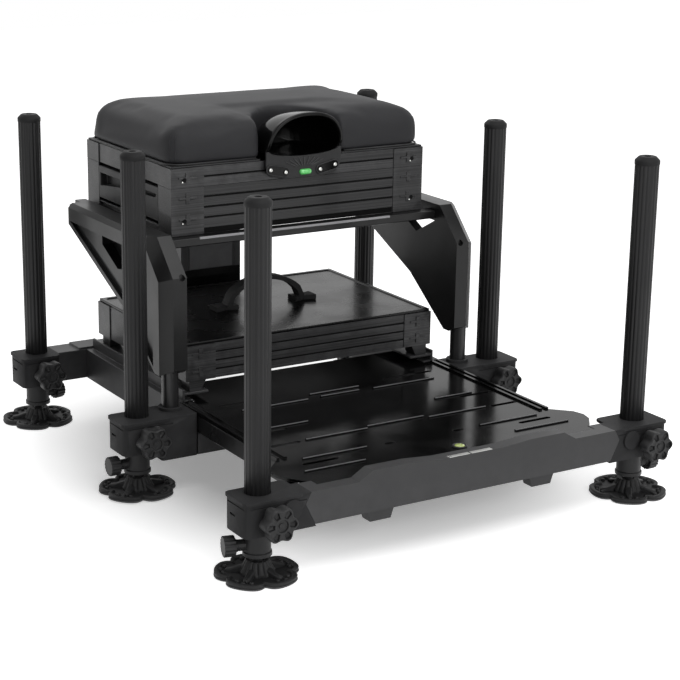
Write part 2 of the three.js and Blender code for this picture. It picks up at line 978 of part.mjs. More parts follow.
function wing() {
  const outerX = wingInnerX + wingWidth;
  const railFootZ = wingTopZ - wingRailDepth;
  const foot = [wingFrontY, wingFootZ];
  const bend = [wingFrontY, wingBendZ];
  const shoulder = [wingTopY, wingTopZ];
  const rear = [wingRearY, wingTopZ];
  const body = runX(
    outline(
      [
        foot,
        [(wingFrontY + wingTipY) / 2, wingTipZ],
        [wingTipY, wingTipZ],
        [wingWebFootY, wingWebFootZ],
        [wingRearY, wingWebRearZ],
        rear,
        shoulder,
        bend,
      ],
      [
        [
          [wingWindowFrontY, railFootZ],
          [wingWindowRearY, railFootZ],
          [wingWindowFootY, wingWindowFootZ],
        ],
      ],
    ),
    wingInnerX,
    outerX,
  );
  const tongue = box(
    wingInnerX,
    wingInnerX + wingTongueWidth,
    wingRearY - overrun,
    deckRearY - fitGap,
    deckTopZ - deckRailHeight,
    wingTopZ,
  );
  const shroudRearY = wingFrontY + wingShroudDepth;
  const webSlope = (wingWebRearZ - wingWebFootZ) / (wingRearY - wingWebFootY);
  const webEndY = wingRearY - (wingWebRearZ + wingWebLip - railFootZ) / webSlope;
  const webStep = runX(
    outline([
      [shroudRearY, wingTipZ + wingWebLip],
      [wingWebFootY, wingWebFootZ + wingWebLip],
      [webEndY, railFootZ],
      [wingWindowFrontY, railFootZ],
      [shroudRearY, wingBendZ],
    ]),
    wingInnerX + wingWebWidth,
    outerX + overrun,
  );
  const windowPocket = runX(
    outline([
      [wingWindowFrontY + windowWallWidth, railFootZ],
      [wingWindowRearY + pocketReach, railFootZ],
      [wingWindowRearY + pocketReach, railFootZ - pocketDrop],
      [wingWindowFootY + pocketReach, wingWindowFootZ - pocketDrop],
      [wingWindowFootY, wingWindowFootZ - pocketDrop / 2],
    ]),
    wingInnerX + windowWallWidth,
    outerX + overrun,
  );
  const postBore = cylinderZ(postBoreRadius, wingTipZ - overrun, postTopZ + fitGap)
    .translate(postX, postY, 0);
  const screwHole = cylinderForward(screwHoleRadius, screwHoleDepth + overrun, smallSides).translate(
    wingInnerX + wingBevelDepth / 2,
    wingFrontY + screwHoleDepth,
    wingBendZ,
  );
  return cut(
    joined(body, tongue),
    webStep,
    windowPocket,
    edgeBevel(foot, bend, wingBevelWidth, wingBevelDepth),
    edgeBevel(bend, shoulder, wingBevelWidth, wingBevelDepth),
    edgeBevel(shoulder, rear, wingRailBevel, wingRailBevel),
    postBore,
    screwHole,
  );
}

function deckRail(frontY, reach) {
  const section = hollow(frontY, frontY + deckRailDepth, deckTopZ - deckRailHeight, deckTopZ, beamWall);
  return runX(section, -reach, reach);
}

// The rear column is a folded channel, open at the back, with a recessed front panel
function rearColumn() {
  const frontY = deckRearY + deckRailDepth + fitGap;
  const rearY = frontY + columnDepth;
  const footZ = blockTopZ + fitGap;
  const channel = outline([
    [-columnHalfWidth, frontY],
    [columnHalfWidth, frontY],
    [columnHalfWidth, rearY],
    [columnHalfWidth - columnWall, rearY],
    [columnHalfWidth - columnWall, frontY + columnWall],
    [columnWall - columnHalfWidth, frontY + columnWall],
    [columnWall - columnHalfWidth, rearY],
    [-columnHalfWidth, rearY],
  ]);
  const panel = box(
    -columnPanelHalfWidth,
    columnPanelHalfWidth,
    frontY - overrun,
    frontY + columnPanelRecess,
    columnPanelFootZ,
    columnPanelFootZ + columnPanelHeight,
  );
  return cut(runZ(channel, footZ, deckTopZ), panel);
}

// A tray with moulded corners that stand proud of its extruded walls, grooves between them,
// and a clip on each corner's front and rear for every layer
function tray({ halfWidth, frontY, rearY, wallFootZ, cornerFootZ, topZ, cornerX, cornerY, layers }) {
  const wallX = halfWidth - cornerProud;
  const wallFrontY = frontY + cornerProud;
  const wallRearY = rearY - cornerProud;
  const solids = [box(-wallX, wallX, wallFrontY, wallRearY, wallFootZ, topZ)];
  for (const side of [-1, 1]) {
    const outer = side * halfWidth;
    const inner = side * (halfWidth - cornerX);
    const fromX = Math.min(outer, inner);
    const toX = Math.max(outer, inner);
    solids.push(box(fromX, toX, frontY, frontY + cornerY, cornerFootZ, topZ));
    solids.push(box(fromX, toX, rearY - cornerY, rearY, cornerFootZ, topZ));
    const clipX = side * (halfWidth - cornerX / 2);
    const layerHeight = (topZ - wallFootZ) / layers;
    for (let layer = 0; layer < layers; layer++) {
      const clipZ = wallFootZ + (layer + 0.5) * layerHeight;
      for (const [fromY, toY] of [
        [frontY - clipProud, frontY + cornerProud],
        [rearY - cornerProud, rearY + clipProud],
      ]) {
        solids.push(
          box(clipX - clipWidth / 2, clipX + clipWidth / 2, fromY, toY, clipZ - clipBarHeight / 2,
            clipZ + clipBarHeight / 2),
          box(clipX - clipPostWidth / 2, clipX + clipPostWidth / 2, fromY, toY, clipZ - clipHeight / 2,
            clipZ + clipHeight / 2),
        );
      }
    }
  }
  const pocket = box(
    trayWall - wallX,
    wallX - trayWall,
    wallFrontY + trayWall,
    wallRearY - trayWall,
    wallFootZ + trayFloor,
    topZ + overrun,
  );
  const under = box(
    trayWall - wallX,
    wallX - trayWall,
    wallFrontY + trayWall,
    wallRearY - trayWall,
    cornerFootZ - overrun,
    wallFootZ,
  );
  const grooves = [];
  const strips = 2 * layers;
  for (let strip = 1; strip < strips; strip++) {
    const grooveZ = wallFootZ + (strip * (topZ - wallFootZ)) / strips;
    const reach = halfWidth - cornerX;
    const band = [grooveZ - grooveHeight / 2, grooveZ + grooveHeight / 2];
    grooves.push(box(-reach, reach, wallFrontY - overrun, wallFrontY + grooveDepth, ...band));
    grooves.push(box(-reach, reach, wallRearY - grooveDepth, wallRearY + overrun, ...band));
  }
  const walls = cut(joined(...solids), pocket, ...grooves);
  return cornerFootZ < wallFootZ ? cut(walls, under) : walls;
}

// The recessed foot that the drawer case stands on
function plinth() {
  const outerX = stackHalfWidth - plinthInset;
  const frontY = stackFrontY + plinthInset;
  const rearY = stackRearY - plinthInset;
  const topZ = drawerCaseFloorZ + trayFloor / 2;
  const innerX = outerX - trayWall;
  return cut(
    box(-outerX, outerX, frontY, rearY, stackFootZ, topZ),
    box(-innerX, innerX, frontY + trayWall, rearY - trayWall, stackFootZ - overrun, topZ + overrun),
  );
}

function drawerCase() {
  const shell = tray({
    halfWidth: stackHalfWidth,
    frontY: stackFrontY,
    rearY: stackRearY,
    wallFootZ: drawerCaseFloorZ,
    cornerFootZ: stackFootZ,
    topZ: drawerCaseTopZ,
    cornerX: cornerWidth,
    cornerY: cornerSideWidth,
    layers: 2,
  });
  const mouth = box(
    -stackHalfWidth - overrun,
    cornerWidth - stackHalfWidth,
    stackFrontY + cornerSideWidth,
    stackRearY - cornerSideWidth,
    drawerCaseFloorZ + trayFloor,
    drawerCaseTopZ + overrun,
  );
  const runners = [
    stackFrontY + cornerSideWidth + drawerSideGap,
    stackRearY - cornerSideWidth - drawerSideGap - drawerRunnerWidth,
  ].map((fromY) =>
    box(
      cornerWidth - stackHalfWidth,
      drawerInnerReach,
      fromY,
      fromY + drawerRunnerWidth,
      drawerCaseFloorZ + trayFloor / 2,
      drawerFootZ - fitGap,
    ),
  );
  return joined(cut(shell, mouth), plinth(), ...runners);
}

// The drawer opens to the left, and its front has a long finger scoop
function sideDrawer() {
  const frontX = -stackHalfWidth;
  const backOfFrontX = frontX + drawerFrontThickness;
  const fromY = stackFrontY + cornerSideWidth + fitGap;
  const toY = stackRearY - cornerSideWidth - fitGap;
  const topZ = drawerCaseTopZ - drawerTopGap;
  const innerTopZ = topZ - drawerSideGap;
  const trayFromY = fromY + drawerSideGap;
  const trayToY = toY - drawerSideGap;
  const front = box(frontX, backOfFrontX, fromY, toY, drawerFootZ, topZ);
  const body = box(backOfFrontX - overrun, drawerInnerReach, trayFromY, trayToY, drawerFootZ, innerTopZ);
  const pocket = box(
    backOfFrontX,
    drawerInnerReach - drawerWall,
    trayFromY + drawerWall,
    trayToY - drawerWall,
    drawerFootZ + drawerWall,
    topZ + overrun,
  );
  const middleY = (fromY + toY) / 2 + cornerSideWidth / 2;
  const scoop = runX(
    outline([
      [toY - scoopEndInset, drawerFootZ + scoopTopRise],
      [fromY + scoopEndInset, drawerFootZ + scoopTopRise],
      [fromY + 2 * scoopEndInset, drawerFootZ + scoopFrontRise],
      [middleY, drawerFootZ + scoopMiddleRise],
      [toY - scoopEndInset, drawerFootZ + scoopRearRise],
    ].reverse()),
    frontX - overrun,
    frontX + scoopDepth,
  );
  return cut(joined(front, body), pocket, scoop);
}

const hingeY = stackRearY + hingeOffset;
const hingeZ = seatBaseFootZ;

// A hinge knuckle on a leaf that reaches forward to the piece it belongs to
function knuckle(fromX, toX, leafFrontY, leafFootZ, leafTopZ) {
  const leaf = box(fromX, toX, leafFrontY, hingeY, leafFootZ, leafTopZ);
  const barrel = cylinderOutward(hingeRadius, toX - fromX, smallSides).translate(fromX, hingeY, hingeZ);
  return joined(leaf, barrel);
}

function shallowTray() {
  const walls = tray({
    halfWidth: stackHalfWidth,
    frontY: stackFrontY,
    rearY: stackRearY,
    wallFootZ: drawerCaseTopZ + fitGap,
    cornerFootZ: drawerCaseTopZ + fitGap,
    topZ: shallowTrayTopZ,
    cornerX: cornerWidth,
    cornerY: cornerSideWidth,
    layers: 1,
  });
  const knuckleFrontY = stackRearY - cornerProud - trayWall / 2;
  const knuckles = [hingeX + fitGap, -hingeX - hingeKnuckleLength].map((fromX) =>
    knuckle(
      fromX,
      fromX + hingeKnuckleLength - fitGap,
      knuckleFrontY,
      shallowTrayTopZ - seatBaseThickness,
      shallowTrayTopZ,
    ),
  );
  return joined(walls, ...knuckles);
}

// The seat's base plate, with a notch for the pole socket
function seatBase() {
  const reach = stackHalfWidth - seatBaseInset;
  const rearY = stackRearY - seatBaseInset;
  const plate = box(-reach, reach, stackFrontY + seatBaseInset, rearY, seatBaseFootZ, seatBaseTopZ);
  const notch = box(
    -notchHalfWidth,
    notchHalfWidth,
    stackFrontY - overrun,
    hoodRearY,
    seatBaseFootZ - overrun,
    seatBaseTopZ + overrun,
  );
  const knuckles = [hingeX - hingeKnuckleLength, -hingeX].map((fromX) =>
    knuckle(fromX, fromX + hingeKnuckleLength, rearY - overrun, seatBaseFootZ, seatBaseTopZ),
  );
  return joined(cut(plate, notch), ...knuckles);
}

// One ring of the cushion's skin: a rounded rectangle drawn in by the given insets
function cushionRing(sideInset, frontInset, z) {
  const fromX = sideInset - cushionHalfWidth;
  const toX = cushionHalfWidth - sideInset;
  const fromY = cushionFrontY + frontInset;
  const toY = cushionRearY - frontInset;
  const radius = Math.max(cushionCorner - sideInset / 2, cushionCorner / 4);
  const points = [];
  const corners = [
    [toX - radius, toY - radius, 0],
    [fromX + radius, toY - radius, 1],
    [fromX + radius, fromY + radius, 2],
    [toX - radius, fromY + radius, 3],
  ];
  const arcSteps = 5;
  const straightSteps = 6;
  corners.forEach(([x, y, quarter], at) => {
    for (let step = 0; step <= arcSteps; step++) {
      const angle = ((quarter + step / arcSteps) * Math.PI) / 2;
      points.push([x + radius * Math.cos(angle), y + radius * Math.sin(angle), z]);
    }
    const last = points[points.length - 1];
    const [nextX, nextY, nextQuarter] = corners[(at + 1) % corners.length];
    const nextAngle = (nextQuarter * Math.PI) / 2;
    const next = [nextX + radius * Math.cos(nextAngle), nextY + radius * Math.sin(nextAngle)];
    for (let step = 1; step < straightSteps; step++) {
      const share = step / straightSteps;
      points.push([last[0] + (next[0] - last[0]) * share, last[1] + (next[1] - last[1]) * share, z]);
    }
  });
  return points;
}

function seatCushion() {
  const topZ = cushionFootZ + cushionHeight - cushionCrown;
  const shoulderZ = topZ - cushionSideRadius;
  const rings = [
    cushionRing(cushionTuck, cushionTuck, cushionFootZ),
    cushionRing(0, 0, cushionFootZ + 2 * cushionTuck),
    cushionRing(0, 0, shoulderZ),
  ];
  const arcSteps = 5;
  for (let step = 1; step <= arcSteps; step++) {
    const angle = ((step / arcSteps) * Math.PI) / 2;
    const sideInset = cushionSideRadius * (1 - Math.cos(angle));
    const frontInset = cushionFrontRadius * (1 - Math.cos(angle));
    rings.push(cushionRing(sideInset, frontInset, shoulderZ + cushionSideRadius * Math.sin(angle)));
  }
  const crownShares = [0.2, 0.45, 0.75];
  const inward = (cushionRearY - cushionFrontY) / 2 - cushionFrontRadius - cushionCorner;
  for (const share of crownShares) {
    const inset = share * inward;
    const rise = cushionCrown * Math.sin((share * Math.PI) / 2);
    rings.push(cushionRing(cushionSideRadius + inset, cushionFrontRadius + inset, topZ + rise));
  }
  const notchPoints = [
    [notchHalfWidth, cushionFrontY - cushionCorner],
    [notchHalfWidth, cushionFrontY],
  ];
  const notchSteps = 12;
  for (let step = 1; step < notchSteps; step++) {
    const angle = (Math.PI * step) / notchSteps;
    notchPoints.push([notchHalfWidth * Math.cos(angle), cushionFrontY + notchDepth * Math.sin(angle)]);
  }
  notchPoints.push([-notchHalfWidth, cushionFrontY], [-notchHalfWidth, cushionFrontY - cushionCorner]);
  const notch = runZ(outline(notchPoints), cushionFootZ - overrun, cushionFootZ + cushionHeight + overrun);
  return cut(lofted(rings), notch);
}

// One ring of the hood: an arch over a shallow bowl, with its crown leaning to the front
function hoodRing(halfWidth, wideZ, topZ, footZ, y, lean) {
  const points = [];
  const steps = 24;
  for (let step = 0; step < steps; step++) {
    const angle = (2 * Math.PI * step) / steps;
    const across = Math.sign(Math.cos(angle)) * Math.abs(Math.cos(angle)) ** hoodBoxPower;
    const rise = Math.sign(Math.sin(angle)) * Math.abs(Math.sin(angle)) ** hoodBoxPower;
    const height = rise > 0 ? (topZ - wideZ) * rise : (wideZ - footZ) * rise;
    points.push([halfWidth * across, y - lean * Math.sqrt(Math.max(rise, 0)), wideZ + height]);
  }
  return points;
}

// The hood's and its hollow's width and top at four places from the mouth to the rear end
const hoodWidthShares = [1, 0.95, 0.72, 0.4];
const hollowWidthShares = [1, 0.93, 0.64, 0.3];
const hoodTopShares = [1, 0.9, 0.7, 0.45];
const hoodBoxPower = 0.85;
const lipFootShare = 0.5;
const lipCornerShare = 0.85;

function poleSocket() {
  const hoodRise = mouthTopZ + hoodWall - mouthWideZ;
  const hoodFoot = seatBaseTopZ + fitGap;
  const outerHalf = mouthHalfWidth + hoodWall;
  const stations = [
    [mouthFootY, hoodFootZ, mouthFootZ, hoodLean],
    [hoodMiddleY, hoodFootZ, mouthFootZ, 0],
    [hoodRearY, hoodFoot, hoodFoot + hoodWall, 0],
    [hoodEndY, hoodFoot + hoodWall, hoodFoot + hoodWall + hoodWall / 2, 0],
  ];
  const rings = [];
  const cavity = [];
  stations.forEach(([y, footZ, hollowFootZ, lean], at) => {
    const topZ = mouthWideZ + hoodRise * hoodTopShares[at];
    const hollowY = at === 0 ? y - overrun : y;
    const hollowEndY = at === stations.length - 1 ? hollowY - hoodWall : hollowY;
    const hollowTopZ = at === 1 ? topZ - 2 * hoodWall : topZ - hoodWall;
    rings.push(hoodRing(outerHalf * hoodWidthShares[at], mouthWideZ, topZ, footZ, y, lean));
    cavity.push(
      hoodRing(
        mouthHalfWidth * hollowWidthShares[at],
        mouthWideZ,
        hollowTopZ,
        hollowFootZ,
        hollowEndY,
        lean,
      ),
    );
  });
  const lipRearY = stackFrontY - fitGap - clipProud;
  const lipHalf = [
    [lipHalfWidth * lipFootShare, lipFootZ],
    [lipHalfWidth * lipCornerShare, lipFootZ + hoodWall],
    [lipHalfWidth, lipFootZ + 4 * hoodWall],
    [lipHalfWidth, mouthWideZ],
  ];
  const lipMirrored = lipHalf.map(([x, z]) => [-x, z]).reverse();
  const lip = runY(outline([...lipHalf, ...lipMirrored]), lipRearY - lipThickness, lipRearY);
  const pods = [-1, 1].map((side) =>
    runY(
      outline(
        roundedRectangle(
          -lipPodHalfLength,
          lipPodHalfLength,
          -lipPodHalfHeight,
          lipPodHalfHeight,
          lipPodHalfHeight - fitGap,
        ),
      ),
      -lipPodProud - overrun,
      0,
    )
      .rotateY(-side * THREE.MathUtils.degToRad(lipPodSlopeDegrees))
      .translate(side * lipPodX, lipRearY - lipThickness + overrun, lipPodZ),
  );
  return cut(joined(lofted(rings.reverse()), lip, ...pods), lofted(cavity.reverse()));
}

function lowerCase() {
  const shell = tray({
    halfWidth: lowerHalfWidth,
    frontY: lowerFrontY,
    rearY: lowerRearY,
    wallFootZ: lowerFootZ,
    cornerFootZ: lowerFootZ,
    topZ: lowerTopZ,
    cornerX: lowerCornerWidth,
    cornerY: cornerSideWidth,
    layers: 2,
  });
  const tabs = [];
  for (const side of [-1, 1]) {
    const tab = outline([
      [side * lowerTabInnerX, lowerFootZ + overrun],
      [side * (lowerTabInnerX + lowerTabWidth / 3), lowerTabFootZ],
      [side * (lowerTabInnerX + lowerTabWidth), lowerTabFootZ],
      [side * (lowerTabInnerX + lowerTabWidth), lowerFootZ + overrun],
    ]);
    tabs.push(runY(tab, lowerFrontY + cornerProud, lowerFrontY + lowerTabWidth));
    tabs.push(runY(tab, lowerRearY - lowerTabWidth, lowerRearY - cornerProud));
  }
  return joined(shell, ...tabs);
}

function lowerLid() {
  const reach = lowerHalfWidth - lidInset;
  const frontY = lowerFrontY + lidInset;
  const rearY = lowerRearY - lidInset;
  const footZ = lowerTopZ + fitGap;
  const topZ = footZ + lidThickness;
  const plate = box(-reach, reach, frontY, rearY, footZ, topZ + lidRimHeight);
  const field = runZ(
    outline(
      roundedRectangle(
        lidRimWidth - reach,
        reach - lidRimWidth,
        frontY + lidRimWidth,
        rearY - lidRimWidth,
        lidRimWidth,
      ),
    ),
    topZ,
    topZ + 2 * lidRimHeight,
  );
  return cut(plate, field);
}

// A strap handle that arches between two waisted tabs
const handleArchPower = 0.5;

function carryHandle() {
  const centreY = (lowerFrontY + lowerRearY) / 2;
  const footZ = lowerTopZ + 2 * fitGap + lidThickness;
  const outer = [];
  const inner = [];
  const steps = 16;
  for (let step = 0; step <= steps; step++) {
    const share = step / steps;
    const x = handleHalfLength * (1 - 2 * share);
    const rise = Math.sin(Math.PI * share) ** handleArchPower;
    outer.push([x * (1 + handleThickness / handleHalfLength), footZ + handleThickness + handleRise * rise]);
    inner.push([x, footZ + handleRise * rise]);
  }
  const strapOutline = outline([...outer, ...inner.reverse()]);
  const strap = runY(strapOutline, centreY - handleWidth / 2, centreY + handleWidth / 2);
  const tabs = [-1, 1].map((side) => {
    const middle = side * (handleHalfLength + handleThickness);
    const half = handleTabLength / 2;
    return runZ(
      outline([
        [middle - half, centreY - handleTabWidth / 2],
        [middle, centreY - handleTabWaist / 2],
        [middle + half, centreY - handleTabWidth / 2],
        [middle + half, centreY + handleTabWidth / 2],
        [middle, centreY + handleTabWaist / 2],
        [middle - half, centreY + handleTabWidth / 2],
      ]),
      footZ,
      footZ + handleTabHeight,
    );
  });
  return joined(strap, ...tabs);
}

// Ribs and slots of the footplate, each on both sides: the near and far end in X, and the place in Y
const ribSpans = [
  [0, 45, -38],
  [0, 35, -55],
  [60, 176, -58],
  [115, 185, -150],
  [55, 160, -221],
  [0, 50, -213],
  [100, 206, -290],
  [131, 230, -336],
];
const slotSpans = [
  [100, 196, -22],
  [154, 217, -160],
  [169, 221, -222],
  [158, 218, -309],
  [50, 70, -291],
];

// The half width and the front edge that the ribs and slots above are drawn for
const spanHalfWidth = 240;
const spanFrontY = -371;

function footplatePanel() {
  const frontY = frontBeamRearY + fitGap;
  const topZ = plateFootZ + plateThickness;
  const flareStartY = frontBeamRearY + plateFlareStart;
  const flareX = plateHalfWidth + plateFlareReach;
  const half = [
    [tongueHalfWidth, tongueRearY],
    [tongueHalfWidth, plateRearY],
    [plateHalfWidth, plateRearY],
    [plateHalfWidth, flareStartY],
    [flareX - plateFlareBevel, frontBeamRearY + plateFlareEnd],
    [flareX, frontBeamRearY + plateFlareMiddle],
    [flareX - plateFlareBevel, frontBeamRearY + plateFlareStop],
    [plateHalfWidth + plateFlareBackReach, frontBeamRearY + plateFlareBack],
    [plateHalfWidth, frontY],
    [plateHalfWidth, frontFaceY + beamTopDepth + fitGap],
  ];
  const mirrored = half.map(([x, y]) => [-x, y]).reverse();
  const plate = runZ(outline([...half, ...mirrored]), plateFootZ, topZ);
  const extras = [];
  const slots = [];
  const widthShare = plateHalfWidth / spanHalfWidth;
  const lengthShare = frontBeamRearY / spanFrontY;
  for (const side of [-1, 1]) {
    const across = side * widthShare;
    for (const step of [0, 1]) {
      const outer = side * (plateHalfWidth - step * plateRimPitch);
      const inner = side * (plateHalfWidth - step * plateRimPitch - plateRimWidth);
      extras.push(
        box(
          Math.min(outer, inner),
          Math.max(outer, inner),
          flareStartY,
          plateRearY,
          topZ - plateThickness / 2,
          topZ + plateRimHeight,
        ),
      );
    }
    for (const [near, far, drawnY] of ribSpans) {
      const fromX = Math.min(across * near, across * far);
      const toX = Math.max(across * near, across * far);
      const y = drawnY * lengthShare;
      const ribFootZ = topZ - plateThickness / 2;
      extras.push(box(fromX, toX, y - ribWidth / 2, y + ribWidth / 2, ribFootZ, topZ + ribHeight));
    }
    for (const [near, far, drawnY] of slotSpans) {
      const y = drawnY * lengthShare;
      const hole = roundedRectangle(
        Math.min(across * near, across * far),
        Math.max(across * near, across * far),
        y - plateSlotWidth / 2,
        y + plateSlotWidth / 2,
        plateSlotWidth / 2 - fitGap,
        1,
      );
      slots.push(runZ(outline(hole), plateFootZ - overrun, topZ + overrun));
    }
  }
  return cut(joined(plate, ...extras), ...slots);
}

function footplateRail() {
  const section = hollow(railOuterX - railWidth, railOuterX, railFootZ, plateFootZ - fitGap, beamWall);
  return runY(section, frontBeamRearY + railFrontGap, railRearY);
}

// The front beam's top edge has two crests, and a shelf and a ledge behind it carry the footplate
function frontBeam() {
  const seamX = frontBlockInnerX - fitGap;
  const crestZ = blockTopZ + beamCrestRise;
  const seamFootX = seamX - seamFootReach;
  const seamSlope = (seamDepth + seamFootReach) / seamApexRise;
  const half = [
    [seamFootX + (frontBeamFootZ - blockBottomZ) * seamSlope, frontBeamFootZ],
    [seamX + seamDepth, blockBottomZ + seamApexRise],
    [seamX, blockTopZ],
    [beamCrestStart, blockTopZ],
    [beamCrestFlat, crestZ],
    [beamCrestEnd, crestZ],
    [beamMiddleEnd, blockTopZ + beamMiddleRise],
  ];
  const mirrored = half.map(([x, z]) => [-x, z]).reverse();
  const face = runY(outline([...half, ...mirrored]), frontFaceY, frontBeamRearY);
  const bore = box(
    -castingInnerX,
    castingInnerX,
    frontFaceY + 2 * beamWall,
    frontBeamRearY + overrun,
    frontBeamFootZ + 2 * beamWall,
    plateFootZ - fitGap - beamLedgeThickness,
  );
  const ledge = box(
    -plateHalfWidth,
    plateHalfWidth,
    frontBeamRearY - overrun,
    frontBeamRearY + beamLedgeDepth,
    plateFootZ - fitGap - beamLedgeThickness,
    plateFootZ - fitGap,
  );
  const clips = [-1, 1].map((side) => {
    const middle = side * beamClipX;
    const half = beamClipWidth / 2;
    const tapered = outline([
      [middle - half, frontBeamFootZ + overrun],
      [middle - half + beamClipTaper, frontBeamFootZ - beamClipHeight],
      [middle + half - beamClipTaper, frontBeamFootZ - beamClipHeight],
      [middle + half, frontBeamFootZ + overrun],
    ]);
    return runY(tapered, beamClipFrontY, beamClipFrontY + beamClipDepth);
  });
  const shelf = box(
    -plateHalfWidth - fitGap,
    plateHalfWidth + fitGap,
    frontFaceY + beamTopDepth,
    frontBeamRearY + overrun,
    plateFootZ - fitGap,
    crestZ + overrun,
  );
  return cut(joined(face, ledge, ...clips), bore, shelf);
}

// The whole seat box
bothSides("middle_casting", middleCasting(), castMetal);
bothSides("rear_block", rearBlock(), castMetal);
bothSides("side_rail", sideRail(), beamMetal);
piece("rear_beam", rearBeam(), beamMetal);
piece("middle_crossmember", middleCrossmember(), beamMetal);
bothSides("post", post(), anodised);
bothSides("wing", wing(), glossy);
piece("deck_front_rail", deckRail(deckFrontY, wingInnerX - fitGap), anodised);
piece("deck_rear_rail", deckRail(deckRearY, wingInnerX + wingTongueWidth), anodised);
piece("rear_column", rearColumn(), beamMetal);
piece("drawer_case", drawerCase(), profileMetal);
piece("side_drawer", sideDrawer(), moulded);
piece("shallow_tray", shallowTray(), profileMetal);
piece("seat_base", seatBase(), moulded);
piece("seat_cushion", seatCushion(), vinyl);
piece("pole_socket", poleSocket(), glossy);
piece("lower_case", lowerCase(), profileMetal);
piece("lower_lid", lowerLid(), glossy);
piece("carry_handle", carryHandle(), webbing);
piece("footplate_panel", footplatePanel(), glossy);
piece("front_beam", frontBeam(), beamMetal);
bothSides("footplate_rail", footplateRail(), anodised);
bothSides("front_block", frontBlock(), castMetal);

// How far each collar, with its screw, and each disc are turned about the leg
const footTurnDegrees = {
  front: { left: 14, right: 0 },
  middle: { left: 0, right: 0 },
  rear: { left: 166, right: 0 },
};
const discTurnDegrees = {
  front: { left: 33, right: 18 },
  middle: { left: 33, right: 18 },
  rear: { left: 18, right: 18 },
};

const tube = legTube();
const collar = footCollar();
const disc = footDisc();
const knob = clampKnob();
const screw = collarScrew();
for (const [row, legY] of [
  ["front", frontLegY],
  ["middle", 0],
  ["rear", rearLegY],
]) {
  for (const [side, group] of sides) {
    const station = new THREE.Group();
    station.position.set(legReachX, legY, 0);
    group.add(station);
    piece(`leg_tube_${row}_${side}`, tube, anodised, station);
    const foot = new THREE.Group();
    foot.rotation.z = THREE.MathUtils.degToRad(footTurnDegrees[row][side]);
    station.add(foot);
    piece(`foot_collar_${row}_${side}`, collar, moulded, foot);
    const discMesh = piece(`foot_disc_${row}_${side}`, disc, footRubber, station);
    discMesh.rotation.z = THREE.MathUtils.degToRad(discTurnDegrees[row][side]);
    const knobMesh = piece(`clamp_knob_${row}_${side}`, knob, moulded, station);
    knobMesh.position.set(0, -blockFrontDepth, knobZ);
    const screwMesh = piece(`collar_screw_${row}_${side}`, screw, moulded, foot);
    screwMesh.position.set(0, 0, screwZ);
  }
}

// The origin is on the ground, midway between the front and rear reach of the whole box
const reach = new THREE.Box3().setFromObject(seatBox, true);
seatBox.position.y = -(reach.min.y + reach.max.y) / 2;
const part = new THREE.Group();
part.add(seatBox);

export default part;
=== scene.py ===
# %% [markdown]
# # A fishing seat box
# A black seat box for bank fishing: six fluted legs clamped in cast blocks, a glossy footplate
# with a beam across its front, a padded seat with a pole socket, and trays in grooved profiles.
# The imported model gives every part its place. This script gives each one its finish, rounds the
# edges that catch the light, and rebuilds what is soft or finely moulded.

# %% Load the frame
import json
from math import atan2, copysign, cos, degrees, hypot, pi, radians, sin, sqrt

import bmesh
import bpy
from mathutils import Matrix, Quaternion, Vector
from mathutils.bvhtree import BVHTree


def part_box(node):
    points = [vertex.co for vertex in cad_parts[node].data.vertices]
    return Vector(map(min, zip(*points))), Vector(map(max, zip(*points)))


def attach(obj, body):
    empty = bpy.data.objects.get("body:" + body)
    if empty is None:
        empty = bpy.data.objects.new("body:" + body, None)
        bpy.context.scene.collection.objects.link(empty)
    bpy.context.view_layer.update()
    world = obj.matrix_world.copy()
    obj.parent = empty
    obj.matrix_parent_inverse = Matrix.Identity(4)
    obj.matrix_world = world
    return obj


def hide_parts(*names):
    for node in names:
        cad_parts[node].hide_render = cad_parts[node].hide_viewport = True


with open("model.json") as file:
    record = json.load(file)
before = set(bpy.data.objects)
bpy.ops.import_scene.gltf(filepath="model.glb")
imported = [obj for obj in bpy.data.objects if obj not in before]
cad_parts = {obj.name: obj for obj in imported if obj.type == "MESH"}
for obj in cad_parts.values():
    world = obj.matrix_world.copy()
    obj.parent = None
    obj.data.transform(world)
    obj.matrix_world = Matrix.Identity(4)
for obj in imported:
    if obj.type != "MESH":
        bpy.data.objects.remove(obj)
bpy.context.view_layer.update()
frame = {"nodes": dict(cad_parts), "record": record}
record = frame["record"]
scene = bpy.context.scene
body_of_node = {node: body for body, nodes in record["behaviour"]["bodies"].items() for node in nodes}
slot_of_node = {entry["node"]: entry["material_slot"] for entry in record["subparts"]}
left_and_right = ((-1, "left"), (1, "right"))
middle_low, middle_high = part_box("leg_tube_middle_left")
centre_shift = (middle_low.y + middle_high.y) / 2


def new_object(name, data):
    """A new object in the scene, with the mesh, lamp or camera that it's given."""
    added = bpy.data.objects.new(name, data)
    scene.collection.objects.link(added)
    return added


# %% [markdown]
# ## The camera
# The photograph looks down a little from the front left, through a long lens. The legs are
# parallel and upright, so their edges fix the lens and the tilt: about 96 mm on a 36 mm sensor.

# %% Camera
view_azimuth, view_elevation, view_roll = -31.874, 15.847, 0.901
view_distance, view_lens = 2.8825, 95.943
view_target = Vector((0.033227, centre_shift, 0.188542))
azimuth, elevation = radians(view_azimuth), radians(view_elevation)
backwards = Vector((sin(azimuth) * cos(elevation),
                    -cos(azimuth) * cos(elevation), sin(elevation)))
camera = new_object("camera", bpy.data.cameras.new("camera"))
camera.data.sensor_width = 36
camera.data.lens = view_lens
camera.data.clip_end = 50
camera.location = view_target + backwards * view_distance
camera.rotation_mode = "QUATERNION"
roll = Quaternion((0, 0, 1), radians(view_roll))
camera.rotation_quaternion = (-backwards).to_track_quat("-Z", "Y") @ roll
scene.camera = camera
print("camera at", tuple(round(value, 3) for value in camera.location))

